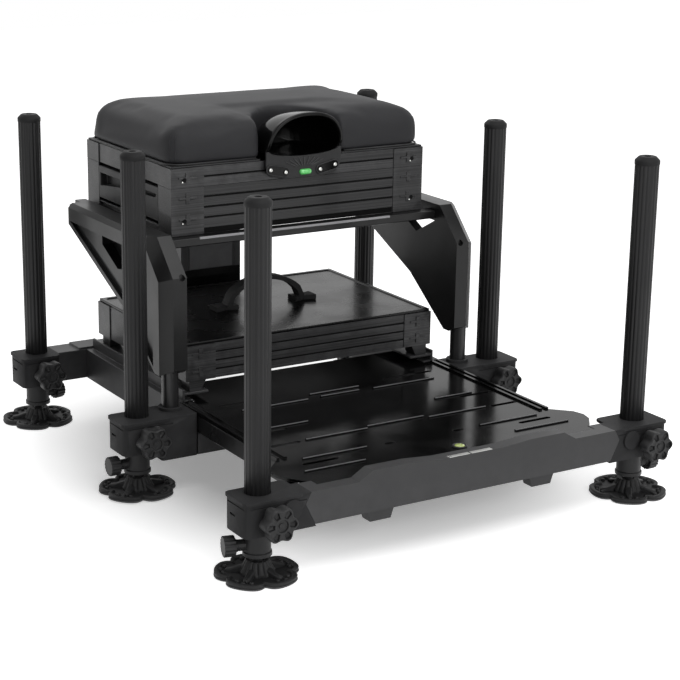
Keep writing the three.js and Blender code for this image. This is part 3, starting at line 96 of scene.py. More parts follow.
# %% [markdown]
# ## Building a material
# A material is a small tree of nodes. These helpers add the kinds of node that this scene needs.
# Each input takes either a constant or another node's output.


# %% Node helpers
def grey(value):
    """A display grey from 0 to 255 as the linear number that a shader wants."""
    share = value / 255
    return share / 12.92 if share <= 0.04045 else ((share + 0.055) / 1.055) ** 2.4


def add_node(tree, kind, inputs=None, **settings):
    """Adds a node, sets its settings, then links or fills its inputs."""
    node = tree.nodes.new("ShaderNode" + kind)
    for setting, value in settings.items():
        setattr(node, setting, value)
    for label, value in (inputs or {}).items():
        if isinstance(value, bpy.types.NodeSocket):
            tree.links.new(value, node.inputs[label])
        else:
            node.inputs[label].default_value = value
    return node


def calculate(tree, operation, first, second, clamp=False):
    return add_node(tree, "Math", {0: first, 1: second}, operation=operation, use_clamp=clamp).outputs[0]


def remap(tree, value, from_low, from_high, to_low, to_high, shape="LINEAR"):
    limits = {"From Min": from_low, "From Max": from_high, "To Min": to_low, "To Max": to_high}
    return add_node(tree, "MapRange", {"Value": value, **limits}, interpolation_type=shape).outputs["Result"]


def noise(tree, place, scale, detail=3.0, roughness=0.55):
    looks = {"Vector": place, "Scale": scale, "Detail": detail, "Roughness": roughness}
    return add_node(tree, "TexNoise", looks).outputs["Fac"]


def mix_colours(tree, share, first, second, blend="MIX"):
    looks = {"Factor": share, "A": first, "B": second}
    return add_node(tree, "Mix", looks, data_type="RGBA", blend_type=blend).outputs["Result"]


def relief(tree, height, strength, distance):
    looks = {"Height": height, "Strength": strength, "Distance": distance}
    return add_node(tree, "Bump", looks).outputs["Normal"]


def own_place(tree):
    """Each point's place on the object itself, in metres."""
    return add_node(tree, "TexCoord").outputs["Object"]


def new_material(name):
    """An empty material and its tree of nodes."""
    material = bpy.data.materials.new(name)
    material.use_nodes = True
    material.node_tree.nodes.clear()
    return material, material.node_tree


def add_shader(tree, looks):
    """The material's shader with its constants and links, joined to the output."""
    shader = add_node(tree, "BsdfPrincipled", looks)
    add_node(tree, "OutputMaterial", {"Surface": shader.outputs[0]})


def seen_directly(tree):
    """One where the ray comes from the camera, a reflection or a refraction, and nought elsewhere."""
    path = add_node(tree, "LightPath").outputs
    either = calculate(tree, "MAXIMUM", path["Is Camera Ray"], path["Is Glossy Ray"])
    return calculate(tree, "MAXIMUM", either, path["Is Transmission Ray"])


# %% [markdown]
# ## Light and backdrop
# A studio sweep: white floor and white surroundings, one large soft box above, another low in
# front, and a weaker one behind. The white background is painted for the camera, reflections and
# refractions only, so it adds little light to the black surfaces. The floor's own glow is turned
# down near the box, a painted shadow over the shadow that the lamps cast, and is white further out.

# %% Backdrop and lamps
lit_strength = 0.13
world = bpy.data.worlds.new("studio")
world.use_nodes = True
scene.world = world
sky = world.node_tree
background = sky.nodes["Background"]
background.inputs["Color"].default_value = (1, 1, 1, 1)
sky.links.new(remap(sky, seen_directly(sky), 0, 1, lit_strength, 1.0), background.inputs["Strength"])

floor_half, floor_z, floor_pale = 6.0, -0.0005, 0.93
# Near the box the floor's glow is turned down into a painted shadow.
shade_radius, white_radius, shaded_glow, full_glow = 0.25, 0.62, 0.27, 1.0
floor_mesh = bpy.data.meshes.new("floor")
floor_mesh.from_pydata([(across * floor_half, along * floor_half, floor_z)
                        for across, along in ((-1, -1), (1, -1), (1, 1), (-1, 1))], [], [(0, 1, 2, 3)])
floor = new_object("floor", floor_mesh)
material, tree = new_material("pale_floor")
from_centre = add_node(tree, "VectorMath", {0: own_place(tree)}, operation="LENGTH").outputs["Value"]
glow = remap(tree, from_centre, shade_radius, white_radius, shaded_glow, full_glow, shape="SMOOTHSTEP")
add_shader(tree, {"Base Color": (floor_pale, floor_pale, floor_pale, 1), "Roughness": 0.9,
                  "Specular IOR Level": 0.1, "Emission Strength": 1,
                  "Emission Color": calculate(tree, "MULTIPLY", seen_directly(tree), glow)})
floor_mesh.materials.append(material)


def soft_box(name, place, aim, size, power):
    data = bpy.data.lights.new(name, "AREA")
    data.shape = "RECTANGLE"
    data.size, data.size_y = size
    data.energy = power
    lamp = new_object(name, data)
    lamp.location = place
    lamp.rotation_mode = "QUATERNION"
    lamp.rotation_quaternion = (Vector(aim) - Vector(place)).to_track_quat("-Z", "Y")


soft_box("key_box", (0.3, -1.3, 3.0), (0, 0, 0.2), (2.6, 1.8), 34)
soft_box("front_box", (-0.1, -3.0, 1.2), (0, 0, 0.3), (1.8, 1.4), 25)
soft_box("back_box", (0.3, 2.6, 2.6), (0, 0, 0.3), (2.4, 1.2), 14)
scene.view_settings.view_transform = "Standard"
print("floor and lamps are in place")

# %% [markdown]
# ## Effects that several finishes share
# Black metal and black plastic differ in how they break up a highlight. Four effects do that
# here, each a node group with its own inputs: a fine moulded grain, the lines that a profile
# keeps from its die, the paler look of edges that hands and gravel have rubbed, and the dust
# that settles on what faces up.


# %% Shader node groups
def new_group(name, inputs, outputs):
    """A group that takes a place and further inputs, and gives numbers."""
    group = bpy.data.node_groups.new(name, "ShaderNodeTree")
    for label, value in (("Vector", None), *inputs.items()):
        kind = "NodeSocketFloat" if isinstance(value, float) else "NodeSocketVector"
        socket = group.interface.new_socket(label, in_out="INPUT", socket_type=kind)
        if value is not None:
            socket.default_value = value
    for label in outputs:
        group.interface.new_socket(label, in_out="OUTPUT", socket_type="NodeSocketFloat")
    return group, group.nodes.new("NodeGroupInput").outputs, group.nodes.new("NodeGroupOutput").inputs


def moulded_grain_group():
    group, given, result = new_group("moulded_grain", {"Scale": 900.0, "Roughness": 0.5, "Spread": 0.1},
                                     ("Height", "Roughness"))
    broad = noise(group, given["Vector"], 14.0)
    low = calculate(group, "SUBTRACT", given["Roughness"], given["Spread"])
    high = calculate(group, "ADD", given["Roughness"], given["Spread"])
    group.links.new(noise(group, given["Vector"], given["Scale"]), result["Height"])
    group.links.new(remap(group, broad, 0.3, 0.7, low, high), result["Roughness"])
    return group


def drawn_lines_group():
    group, given, result = new_group("drawn_lines", {"Stretch": (3.0, 600.0, 600.0), "Contrast": 0.15},
                                     ("Height", "Shade"))
    stretched = add_node(group, "VectorMath", {0: given["Vector"], 1: given["Stretch"]}, operation="MULTIPLY")
    lines = noise(group, stretched.outputs[0], 1.0, detail=2.0)
    dark = calculate(group, "SUBTRACT", 1.0, given["Contrast"])
    light = calculate(group, "ADD", 1.0, given["Contrast"])
    group.links.new(lines, result["Height"])
    group.links.new(remap(group, lines, 0.35, 0.65, dark, light), result["Shade"])
    return group


def mask_group(name, feature, feature_range, patch_scale, patch_detail, patch_range, usual_amount):
    """A mask from one feature of the surface, broken into patches by a noise.

    Each range says where the mask starts, where it is full, and the least that it gives.
    """
    group, given, result = new_group(name, {"Amount": usual_amount}, ("Mask",))
    where = remap(group, feature(group), *feature_range, 1.0)
    cloud = noise(group, given["Vector"], patch_scale, detail=patch_detail)
    patchy = calculate(group, "MULTIPLY", where, remap(group, cloud, *patch_range, 1.0))
    group.links.new(calculate(group, "MULTIPLY", patchy, given["Amount"]), result["Mask"])
    return group


def pointed(group):
    return add_node(group, "NewGeometry").outputs["Pointiness"]


def facing_up(group):
    normal = add_node(group, "NewGeometry").outputs["Normal"]
    return add_node(group, "SeparateXYZ", {0: normal}).outputs["Z"]


grain_group = moulded_grain_group()
lines_group = drawn_lines_group()
edges_group = mask_group("rubbed_edges", pointed, (0.515, 0.62, 0.0), 45.0, 5.0, (0.35, 0.7, 0.15), 0.3)
dust_group = mask_group("settled_dust", facing_up, (0.2, 1.0, 0.1), 22.0, 6.0, (0.4, 0.75, 0.0), 0.1)
print("groups:", ", ".join(group.name for group in (grain_group, lines_group, edges_group, dust_group)))

# %% [markdown]
# ## The finishes
# Each finish is one material. It starts from the real surface's own darkness, then the groups
# vary it: dust lightens what faces up, rubbed edges go paler, and the grain or the drawn lines
# set the bump. Anodised and painted metal is mostly its own dark coat, so it counts as metal
# only by a tenth to a fifth. Castings, plastic and rubber don't count as metal at all.


# %% Materials
def place_group(tree, group, place, **values):
    """Adds one of the shared groups to a material, and gives its outputs."""
    return add_node(tree, "Group", {"Vector": place, **values}, node_tree=group).outputs


cool_tint = (1.0, 1.0, 1.03)
coat_roughness, shine_spread, relief_depth = 0.08, 0.06, 0.0004
fade_gain, fade_lift = 2.6, 0.012


def black_finish(name, darkness, roughness, metallic=0.0, grain=900.0, bump=0.12, stretch=None,
                 contrast=0.15, wear=0.25, dust=0.06, coat=0.0, specular=0.25):
    """A dark finish whose grain, lines, wear and dust come from the shared groups."""
    material, tree = new_material(name)
    place = own_place(tree)
    base = [grey(darkness) * share for share in cool_tint]
    paler = [min(1.0, value * fade_gain + fade_lift) for value in base]
    grained = place_group(tree, grain_group, place, Scale=grain, Roughness=roughness, Spread=shine_spread)
    dust_mask = place_group(tree, dust_group, place, Amount=dust)["Mask"]
    edge_mask = place_group(tree, edges_group, place, Amount=wear)["Mask"]
    faded = calculate(tree, "ADD", dust_mask, edge_mask, clamp=True)
    colour = mix_colours(tree, faded, (*base, 1), (*paler, 1))
    height = grained["Height"]
    if stretch:
        drawn = place_group(tree, lines_group, place, Stretch=stretch, Contrast=contrast)
        colour = mix_colours(tree, 1, colour, drawn["Shade"], blend="MULTIPLY")
        height = drawn["Height"]
    add_shader(tree, {"Base Color": colour, "Roughness": grained["Roughness"], "Metallic": metallic,
                      "Specular IOR Level": specular, "Coat Weight": coat, "Coat Roughness": coat_roughness,
                      "Normal": relief(tree, height, bump, relief_depth)})
    return material


finish_looks = {
    "leg_metal": (37, 0.45, dict(metallic=0.2, stretch=(500, 500, 4), bump=0.08, wear=0.3)),
    "anodised": (36, 0.3, dict(metallic=0.2, stretch=(500, 500, 5), bump=0.05, specular=0.4)),
    "beam_metal": (62, 0.42, dict(metallic=0.15, grain=1500, bump=0.08, wear=0.3, dust=0.08)),
    "profile_metal": (48, 0.4, dict(metallic=0.2, stretch=(3, 500, 900), contrast=0.4, bump=0.2, wear=0.6,
                                    coat=0.12)),
    "cast_metal": (52, 0.55, dict(grain=1100, bump=0.3, wear=0.5, specular=0.08)),
    "glossy_cast": (20, 0.34, dict(grain=600, bump=0.06, wear=0.3, coat=0.06)),
    "glossy_plastic": (10, 0.16, dict(grain=500, bump=0.03, dust=0.04, specular=0.18)),
    "lid_plastic": (11, 0.27, dict(grain=500, bump=0.03, dust=0.02, specular=0.16, coat=0.1)),
    # This pale band is a painted highlight on the feet's rims.
    "rim_light": (88, 0.45, dict(bump=0.1, wear=0.3)),
    # These pale lines are painted highlights on the footplate's ribs.
    "tread_line": (112, 0.3, dict(grain=700, bump=0.05, wear=0.3, coat=0.4)),
    "rail_gloss": (16, 0.32, dict(grain=500, bump=0.04, wear=0.3, coat=0.1)),
    # This pale strip is a painted reflection on the deck's front edge.
    "polished_edge": (165, 0.3, dict(grain=500, bump=0.04, wear=0.1, coat=0.3)),
    "moulded": (42, 0.45, dict(grain=1300, bump=0.25, wear=0.45)),
    "foot_rubber": (36, 0.55, dict(bump=0.35, wear=0.5, dust=0.1)),
    "webbing": (30, 0.7, dict(grain=1600, bump=0.6, stretch=(900, 60, 900), wear=0.2)),
    "column_paint": (92, 0.5, dict(metallic=0.1, bump=0.1, wear=0.2)),
    "leg_cap": (40, 0.62, dict(grain=1200, bump=0.1, wear=0.1, specular=0.15)),
    "groove_shadow": (8, 0.6, dict(specular=0.1, wear=0.0, dust=0.0)),
}
finishes = {name: black_finish(name, darkness, roughness, **others)
            for name, (darkness, roughness, others) in finish_looks.items()}
print("finishes:", len(finishes))

# %% [markdown]
# The seat is covered in smooth vinyl. Its leather grain is a cell pattern, a millimetre or two
# across, and the sheen spreads wide. Its shade and its shine drift a little in broad patches.


# %% Seat vinyl
def seat_vinyl():
    material, tree = new_material("seat_vinyl")
    place = own_place(tree)
    cells = add_node(tree, "TexVoronoi", {"Vector": place, "Scale": 620}, feature="DISTANCE_TO_EDGE")
    cloud = noise(tree, place, 6, detail=4, roughness=0.5)
    dark, light = ((grey(shade), grey(shade), grey(shade + 2), 1) for shade in (45, 51))
    dust_mask = place_group(tree, dust_group, place, Amount=0.08)["Mask"]
    dusted = mix_colours(tree, dust_mask, mix_colours(tree, cloud, dark, light), (0.2, 0.2, 0.2, 1))
    add_shader(tree, {"Base Color": dusted, "Roughness": remap(tree, cloud, 0, 1, 0.5, 0.62),
                      "Specular IOR Level": 0.2,
                      "Normal": relief(tree, cells.outputs["Distance"], 0.12, 0.0003)})
    return material


finishes["vinyl"] = seat_vinyl()
for node, cad_object in frame["nodes"].items():
    cad_object.data.materials.clear()
    cad_object.data.materials.append(finishes[slot_of_node[node]])
print("every node has its finish")

# %% [markdown]
# ## Rounded edges
# No real edge is perfectly sharp, and on a black object the edges are most of what is seen. Each
# rigid piece gets a copy of its solid with the flat faces merged and the edges rounded by a
# bevel, and the copy stands in for the plain one.


# %% Rounded copies
def join_to_body(piece, body, slot, finish=None, replaced=None):
    """Gives a piece its finish, or the slot's finish when it has none, and its body; hides the part it
    replaces.
    """
    if finish or not piece.data.materials:
        piece.data.materials.clear()
        piece.data.materials.append(finishes[finish or slot])
    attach(piece, body)
    if replaced:
        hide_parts(replaced)


def join_to_node(piece, node, finish=None, replaced=None):
    """Joins a piece to the body of one of the frame's nodes, with that node's slot's finish when it has none.
    """
    join_to_body(piece, body_of_node[node], slot_of_node[node], finish, replaced)


def join_to_seat(piece, finish=None):
    """Joins trim of the pole socket to the seat."""
    join_to_body(piece, "seat", "glossy_plastic", finish)


def settle_modifiers(piece):
    """Applies the piece's modifiers to its mesh, with the shading that they set."""
    depsgraph = bpy.context.evaluated_depsgraph_get()
    evaluated = piece.evaluated_get(depsgraph)
    mesh = bpy.data.meshes.new_from_object(evaluated, preserve_all_data_layers=True, depsgraph=depsgraph)
    piece.modifiers.clear()
    old = piece.data
    piece.data = mesh
    bpy.data.meshes.remove(old)


def clean_mesh(mesh, weld=0.0, flatten=0.0, face_out=False):
    """Welds doubled points, merges flat faces and turns faces outward, as asked, and shades smoothly."""
    work = bmesh.new()
    work.from_mesh(mesh)
    if weld:
        bmesh.ops.remove_doubles(work, verts=work.verts, dist=weld)
    if flatten:
        bmesh.ops.dissolve_limit(work, angle_limit=radians(flatten), verts=work.verts, edges=work.edges)
    if face_out:
        bmesh.ops.recalc_face_normals(work, faces=work.faces)
    for face in work.faces:
        face.smooth = True
    work.to_mesh(mesh)
    work.free()


def keep_flats(piece, turn=9, sharp_turn=50, ratio=6):
    """Shades a large flat face on its own, so that a narrow neighbour doesn't bend its reflection."""
    work = bmesh.new()
    work.from_mesh(piece.data)
    for edge in work.edges:
        if len(edge.link_faces) != 2:
            continue
        areas = sorted(face.calc_area() for face in edge.link_faces)
        bend = degrees(edge.calc_face_angle(0))
        edge.smooth = bend < turn or (bend < sharp_turn and areas[1] < ratio * areas[0])
    work.to_mesh(piece.data)
    work.free()


def round_edges(piece, width, angle=28):
    bevel = piece.modifiers.new("round", "BEVEL")
    bevel.width = width
    bevel.segments = 2
    bevel.limit_method = "ANGLE"
    bevel.angle_limit = radians(angle)
    bevel.use_clamp_overlap = True
    settle_modifiers(piece)
    keep_flats(piece)


def rounded_copy(node, width):
    source = frame["nodes"][node]
    mesh = source.data.copy()
    clean_mesh(mesh, weld=2e-6, flatten=0.6)
    piece = new_object(node + "_rounded", mesh)
    piece.matrix_world = source.matrix_world
    round_edges(piece, width)
    join_to_node(piece, node, own_finish.get(node), node)
    return piece


def second_finish(piece, finish, belongs):
    """Gives a second finish to the faces that a rule picks, and counts them."""
    piece.data.materials.append(finishes[finish])
    for face in piece.data.polygons:
        face.material_index = int(belongs(face))
    return sum(face.material_index for face in piece.data.polygons)


groove_reach = {"drawer_case": 0.172, "shallow_tray": 0.172, "lower_case": 0.174}
groove_depth, largest_groove_face, faces_forward = (0.0036, 0.0056), 0.003, 0.8


def darken_grooves(piece, node):
    """Gives the bottoms of a profile's grooves the shadow finish, and counts their faces."""
    low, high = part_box(node)

    def in_groove(face):
        inset = min(face.center.y - low.y, high.y - face.center.y)
        bottom = abs(face.normal.y) > faces_forward and groove_depth[0] < inset < groove_depth[1]
        return bottom and abs(face.center.x) < groove_reach[node] and face.area < largest_groove_face

    return second_finish(piece, "groove_shadow", in_groove)


edge_widths = {
    "front_beam": 0.0022, "front_block": 0.0016, "middle_casting": 0.0018, "rear_block": 0.0016,
    "side_rail": 0.0007, "rear_beam": 0.001, "middle_crossmember": 0.001, "wing": 0.003,
    "deck_front_rail": 0.0016, "deck_rear_rail": 0.0012, "rear_column": 0.001, "drawer_case": 0.0008,
    "shallow_tray": 0.0008, "lower_case": 0.001, "side_drawer": 0.0012, "seat_base": 0.001,
    "lower_lid": 0.0013, "footplate_panel": 0.0008, "footplate_rail": 0.0006,
    "collar_screw": 0.0006, "carry_handle": 0.0015, "foot_collar": 0.0008, "post": 0.0006,
}
own_finish = {"lower_lid": "lid_plastic", "deck_front_rail": "rail_gloss"}
rounded = 0
for node in sorted(frame["nodes"]):
    for stem, width in edge_widths.items():
        if node == stem or node.startswith(stem + "_") and node not in edge_widths:
            copy = rounded_copy(node, width)
            if node in groove_reach:
                print(node, "dark groove faces:", darken_grooves(copy, node))
            rounded += 1
            break
print("rounded copies:", rounded)

# %% [markdown]
# ## Turned and lofted pieces
# Some shapes are clearer as numbers than as a bevelled solid: a leg is a fluted outline run up
# its axis under a chamfered cap. One helper skins a list of rings, and closes both ends with a
# fan.


# %% Skinning helpers
def full_turn(steps):
    """The angles of even steps round a circle."""
    return [2 * pi * step / steps for step in range(steps)]


def arc(x, y, radius, start, sweep, steps):
    """Points along an arc whose angles are in degrees."""
    angles = [radians(start + sweep * step / steps) for step in range(steps + 1)]
    return [(x + radius * cos(angle), y + radius * sin(angle)) for angle in angles]


def polar_ring(x, y, z, reaches):
    """A level ring of points, each at its own distance from the centre."""
    return [(x + reach * cos(angle), y + reach * sin(angle), z)
            for reach, angle in zip(reaches, full_turn(len(reaches)))]


def skin(name, rings, loop=False):
    """A closed mesh through rings of equally many points; a loop joins the last ring to the first."""
    count = len(rings[0])
    pairs = [(at, (at + 1) % count) for at in range(count)]
    points = [point for ring in rings for point in ring]
    faces = []
    for ring in range(len(rings) if loop else len(rings) - 1):
        low, high = ring * count, ((ring + 1) % len(rings)) * count
        faces += [(low + at, low + after, high + after, high + at) for at, after in pairs]
    if not loop:
        for first, ring in ((True, 0), (False, len(rings) - 1)):
            low, centre = ring * count, len(points)
            points.append(tuple(sum(p[axis] for p in rings[ring]) / count for axis in range(3)))
            faces += [(centre, low + after, low + at) if first else (centre, low + at, low + after)
                      for at, after in pairs]
    mesh = bpy.data.meshes.new(name)
    mesh.from_pydata(points, [], faces)
    mesh.validate()
    clean_mesh(mesh, weld=1e-6, face_out=True)
    return new_object(name, mesh)


def crease(piece, angle):
    """Keeps edges sharper than the angle crisp and shades the rest smoothly."""
    piece.data.set_sharp_from_angle(angle=radians(angle))


def stand_in(node, ending, rings, angle):
    """A creased skin that takes the place of one of the frame's nodes."""
    piece = skin(node + ending, rings)
    crease(piece, angle)
    join_to_node(piece, node, replaced=node)
    return piece


# %% [markdown]
# ## Legs
# Each leg is a fluted tube, 36 mm across, with a slightly wider matt cap whose rim is chamfered
# and whose top has a shallow dimple. The flutes are round-bottomed, so they shade as soft
# stripes.

# %% Legs
leg_half_span = 0.324
leg_rows = (("front", -0.372), ("middle", 0.0), ("rear", 0.388))
leg_places = {(row, side): (leg_half_span * sign, place + centre_shift)
              for row, place in leg_rows for sign, side in left_and_right}
leg_radius, flute_depth, flutes = 0.018, 0.0009, 18
leg_foot_z, cap_foot_z, leg_top_z = 0.0683, 0.508, 0.52


def fluted_ring(x, y, z, radius, depth):
    return polar_ring(x, y, z, [radius - depth * (0.5 - 0.5 * cos(flutes * angle)) ** 1.6
                                for angle in full_turn(flutes * 8)])


def leg_rings(x, y):
    cap = leg_radius + 0.0006
    stations = [(0.0154, 0.0383, 0), (0.0154, leg_foot_z, 0), (leg_radius - 0.0004, leg_foot_z, flute_depth),
                (leg_radius, leg_foot_z + 0.0006, flute_depth), (leg_radius, cap_foot_z, flute_depth),
                (cap - 0.0004, cap_foot_z, 0), (cap, 0.5085, 0), (cap, 0.5136, 0), (cap - 0.0003, 0.5146, 0),
                (cap - 0.0052, 0.5195, 0), (cap - 0.0062, leg_top_z, 0), (0.0056, leg_top_z, 0),
                (0.005, leg_top_z - 0.0004, 0), (0.0048, leg_top_z - 0.0018, 0)]
    return [fluted_ring(x, y, z, radius, depth) for radius, z, depth in stations]


for (row, side), (x, y) in leg_places.items():
    node = f"leg_tube_{row}_{side}"
    leg = stand_in(node, "_fluted", leg_rings(x, y), 40)
    second_finish(leg, "leg_cap", lambda face: face.center.z > cap_foot_z - 0.0002)
print("legs:", len(leg_places))

# %% [markdown]
# ## Feet
# Each foot is a rubbery disc with petals, a raised rim, a sunk field and a ribbed hub that holds
# the leg's ball. One polar grid does all of that: the radius swells with the petals, and the
# hub's radius is rippled by its ribs. A stepped rib and three studs are then set on each petal,
# and a lighter band round the rim is a painted highlight.

# %% Feet
petal_radius, petal_swell, petals = 0.053, 0.006, 5
foot_turns = {("front", "left"): 3, ("middle", "left"): 3}
usual_turn = 18
hub_ribs, foot_steps = 14, 112
rim_inside, rim_band_foot, rim_band_top = 0.04, 0.0012, 0.0034


def foot_ring(x, y, radius, swell, ripple, z, turn):
    reaches = []
    for angle in full_turn(foot_steps):
        notch = 1 - abs(cos(petals / 2 * (angle - turn)))
        rib = abs(cos(hub_ribs * angle / 2)) ** 0.5 - 0.5
        reaches.append(radius + swell - 2 * swell * notch ** 2.5 + ripple * rib)
    return polar_ring(x, y, z, reaches)


def foot_rings(x, y, turn):
    rim, field, swell = petal_radius, petal_radius - 0.008, petal_swell
    stations = [(0.01, 0, 0, 0.0), (rim - 0.003, swell, 0, 0.0), (rim - 0.0006, swell, 0, 0.0012),
                (rim, swell, 0, 0.002), (rim - 0.0002, swell, 0, 0.0034), (rim - 0.001, swell, 0, 0.0038),
                (rim - 0.0004, swell, 0, 0.0075), (rim - 0.002, swell, 0, 0.0089),
                (rim - 0.005, swell, 0, 0.0089), (field + 0.0005, swell, 0, 0.008),
                (field - 0.001, swell, 0, 0.0054), (field - 0.01, swell * 0.4, 0, 0.005),
                (0.0245, 0, 0.0006, 0.0052), (0.0238, 0, 0.0022, 0.0085), (0.0222, 0, 0.0026, 0.01),
                (0.0185, 0, 0.0026, 0.0165), (0.0162, 0, 0.002, 0.0222), (0.015, 0, 0.001, 0.0239),
                (0.0105, 0, 0, 0.0239), (0.0092, 0, 0, 0.0232), (0.0096, 0, 0, 0.019),
                (0.0068, 0, 0, 0.0122), (0.002, 0, 0, 0.0095)]
    return [foot_ring(x, y, *station, turn) for station in stations]


def merged(name, pieces):
    """One object from several, which go with their meshes; it has no finish yet."""
    work = bmesh.new()
    for piece in pieces:
        work.from_mesh(piece.data)
        bpy.data.meshes.remove(piece.data)
    mesh = bpy.data.meshes.new(name)
    work.to_mesh(mesh)
    work.free()
    return new_object(name, mesh)


rib_stations = ((0.018, 0.0052, 0.0155), (0.026, 0.005, 0.0135), (0.034, 0.0046, 0.0105),
                (0.041, 0.004, 0.0098), (0.0435, 0.0026, 0.008))
stud_places = ((0.0495, 0.0), (0.045, 0.0105), (0.045, -0.0105))
lug_foot_z, lug_edge, stud_steps = 0.0045, 0.0015, 12
stud_profile = ((0.003, lug_foot_z), (0.003, 0.0078), (0.0022, 0.009), (0.0008, 0.0094))


def petal_lugs(x, y, angle):
    """A stepped rib from the hub out to a petal, and three low studs on the petal."""
    along, across = Vector((cos(angle), sin(angle))), Vector((-sin(angle), cos(angle)))
    rings = []
    for reach, half, top in rib_stations:
        profile = [(-half, lug_foot_z), (half, lug_foot_z), (half, top - lug_edge), (half - lug_edge, top),
                   (lug_edge - half, top), (-half, top - lug_edge)]
        rings.append([(x + along.x * reach + across.x * offset, y + along.y * reach + across.y * offset, z)
                      for offset, z in profile])
    pieces = [skin("rib", rings)]
    for reach, offset in stud_places:
        place = along * reach + across * offset
        pieces.append(skin("stud", [polar_ring(x + place.x, y + place.y, z, [radius] * stud_steps)
                                    for radius, z in stud_profile]))
    return pieces


for (row, side), (x, y) in leg_places.items():
    node = f"foot_disc_{row}_{side}"
    turn = radians(foot_turns.get((row, side), usual_turn))
    foot = stand_in(node, "_ribbed", foot_rings(x, y, turn), 42)
    # The lighter band round the rim is a painted highlight.
    second_finish(foot, "rim_light", lambda face: rim_band_foot < face.center.z < rim_band_top
                  and hypot(face.center.x - x, face.center.y - y) > rim_inside)
    lugs = merged(node + "_lugs", [lug for petal in range(petals)
                                   for lug in petal_lugs(x, y, turn + 2 * pi * petal / petals)])
    crease(lugs, 42)
    join_to_node(lugs, node)
print("feet:", len(leg_places), "with", petals, "petals and", hub_ribs, "ribs each")

# %% [markdown]
# ## Clamp knobs
# Each leg is held by a six-lobed knob. Its face has a raised rim and a raised star, with a
# scooped recess in every lobe and a round dimple in the middle. The depth of the recess follows
# the lobes, so one polar grid makes them all.

# %% Knobs
knob_lobes, knob_steps, knob_length = 6, 96, 0.031


def knob_ring(x, z, face_y, radius, swell, height, scoop=0.0):
    """One ring about an axis along Y; the height counts from the clamp towards the front."""
    ring = []
    for angle in full_turn(knob_steps):
        lobe = cos(knob_lobes * angle)
        reach = radius + swell * lobe
        y = face_y + knob_length - height + scoop * max(lobe, 0) ** 0.3
        ring.append((x + reach * cos(angle), y, z + reach * sin(angle)))
    return ring


knob_stations = [(0.006, 0, -0.016), (0.006, 0, 0), (0.013, 0, 0), (0.014, 0, 0.001), (0.014, 0, 0.011),
                 (0.0215, 0.0024, 0.0112), (0.0226, 0.0024, 0.0122), (0.023, 0.0024, 0.014),
                 (0.023, 0.0024, 0.0278), (0.0226, 0.0024, 0.0296), (0.0214, 0.0024, 0.0308),
                 (0.0206, 0.0024, 0.031), (0.0199, 0.0024, 0.0308), (0.0192, 0.0022, 0.0305, 0.0036),
                 (0.014, 0.0006, 0.0305, 0.0042), (0.0122, 0, 0.0305, 0.0034), (0.0112, 0, 0.0308),
                 (0.01, 0, 0.031), (0.0092, 0, 0.0306), (0.0086, 0, 0.0284), (0.004, 0, 0.028),
                 (0.0036, 0, 0.029), (0.0006, 0, 0.0292)]
for row, side in leg_places:
    node = f"clamp_knob_{row}_{side}"
    low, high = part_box(node)
    middle_x, middle_z = (low.x + high.x) / 2, (low.z + high.z) / 2
    stand_in(node, "_lobed", [knob_ring(middle_x, middle_z, low.y, *station) for station in knob_stations], 38)
print("knobs:", len(leg_places), "with", knob_lobes, "lobes")

# %% [markdown]
# ## The cushion
# A firm foam pad under stretched vinyl. The solid's copy is remeshed into even faces and blown
# up a little by cloth pressure, which swells it between the corners. The foot and the walls of
# the notch hold still, and no point may move further than a few millimetres.

# %% Cushion
cushion_shrink = Vector((1.0, 0.994, 0.985))
cushion_face_size, cushion_cap, cushion_pressure = 0.005, 0.005, 4
notch_size, held_notch_size, held_foot = (0.078, 0.095), (0.082, 0.1), 0.007
pressure_frames = 20


def in_notch(point, low, size):
    """Whether a point is in the notch's block, whose size is its half width and its depth."""
    return abs(point.x) < size[0] and point.y < low.y + size[1]


def seat_cushion_piece():
    mesh = frame["nodes"]["seat_cushion"].data.copy()
    piece = new_object("seat_cushion_padded", mesh)
    low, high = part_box("seat_cushion")
    centre = (low + high) / 2
    foot_centre = Vector((centre.x, centre.y, low.z))
    for vertex in mesh.vertices:
        offset = vertex.co - foot_centre
        factor = Vector((1, 1, cushion_shrink.z)) if in_notch(vertex.co, low, notch_size) else cushion_shrink
        vertex.co = foot_centre + Vector(a * b for a, b in zip(offset, factor))
    remesh = piece.modifiers.new("even", "REMESH")
    remesh.mode = "VOXEL"
    remesh.voxel_size = cushion_face_size
    settle_modifiers(piece)
    return piece, low, high


def blow_up(piece, low):
    """Inflates the pad with cloth pressure and caps how far each point moves."""
    held = piece.vertex_groups.new(name="held")
    for vertex in piece.data.vertices:
        if vertex.co.z < low.z + held_foot or in_notch(vertex.co, low, held_notch_size):
            held.add([vertex.index], 1.0, "REPLACE")
    before = [vertex.co.copy() for vertex in piece.data.vertices]
    cloth = piece.modifiers.new("pressure", "CLOTH")
    cloth.settings.use_pressure = True
    cloth.settings.uniform_pressure_force = cushion_pressure
    cloth.settings.vertex_group_mass = "held"
    cloth.settings.effector_weights.gravity = 0
    cloth.point_cache.frame_start, cloth.point_cache.frame_end = 1, pressure_frames
    for frame_number in range(1, pressure_frames + 1):
        scene.frame_set(frame_number)
    settle_modifiers(piece)
    moved = 0.0
    for vertex, start in zip(piece.data.vertices, before):
        step = vertex.co - start
        if step.length > cushion_cap:
            step.length = cushion_cap
        moved = max(moved, step.length)
        vertex.co = start + step
    scene.frame_set(1)
    return moved


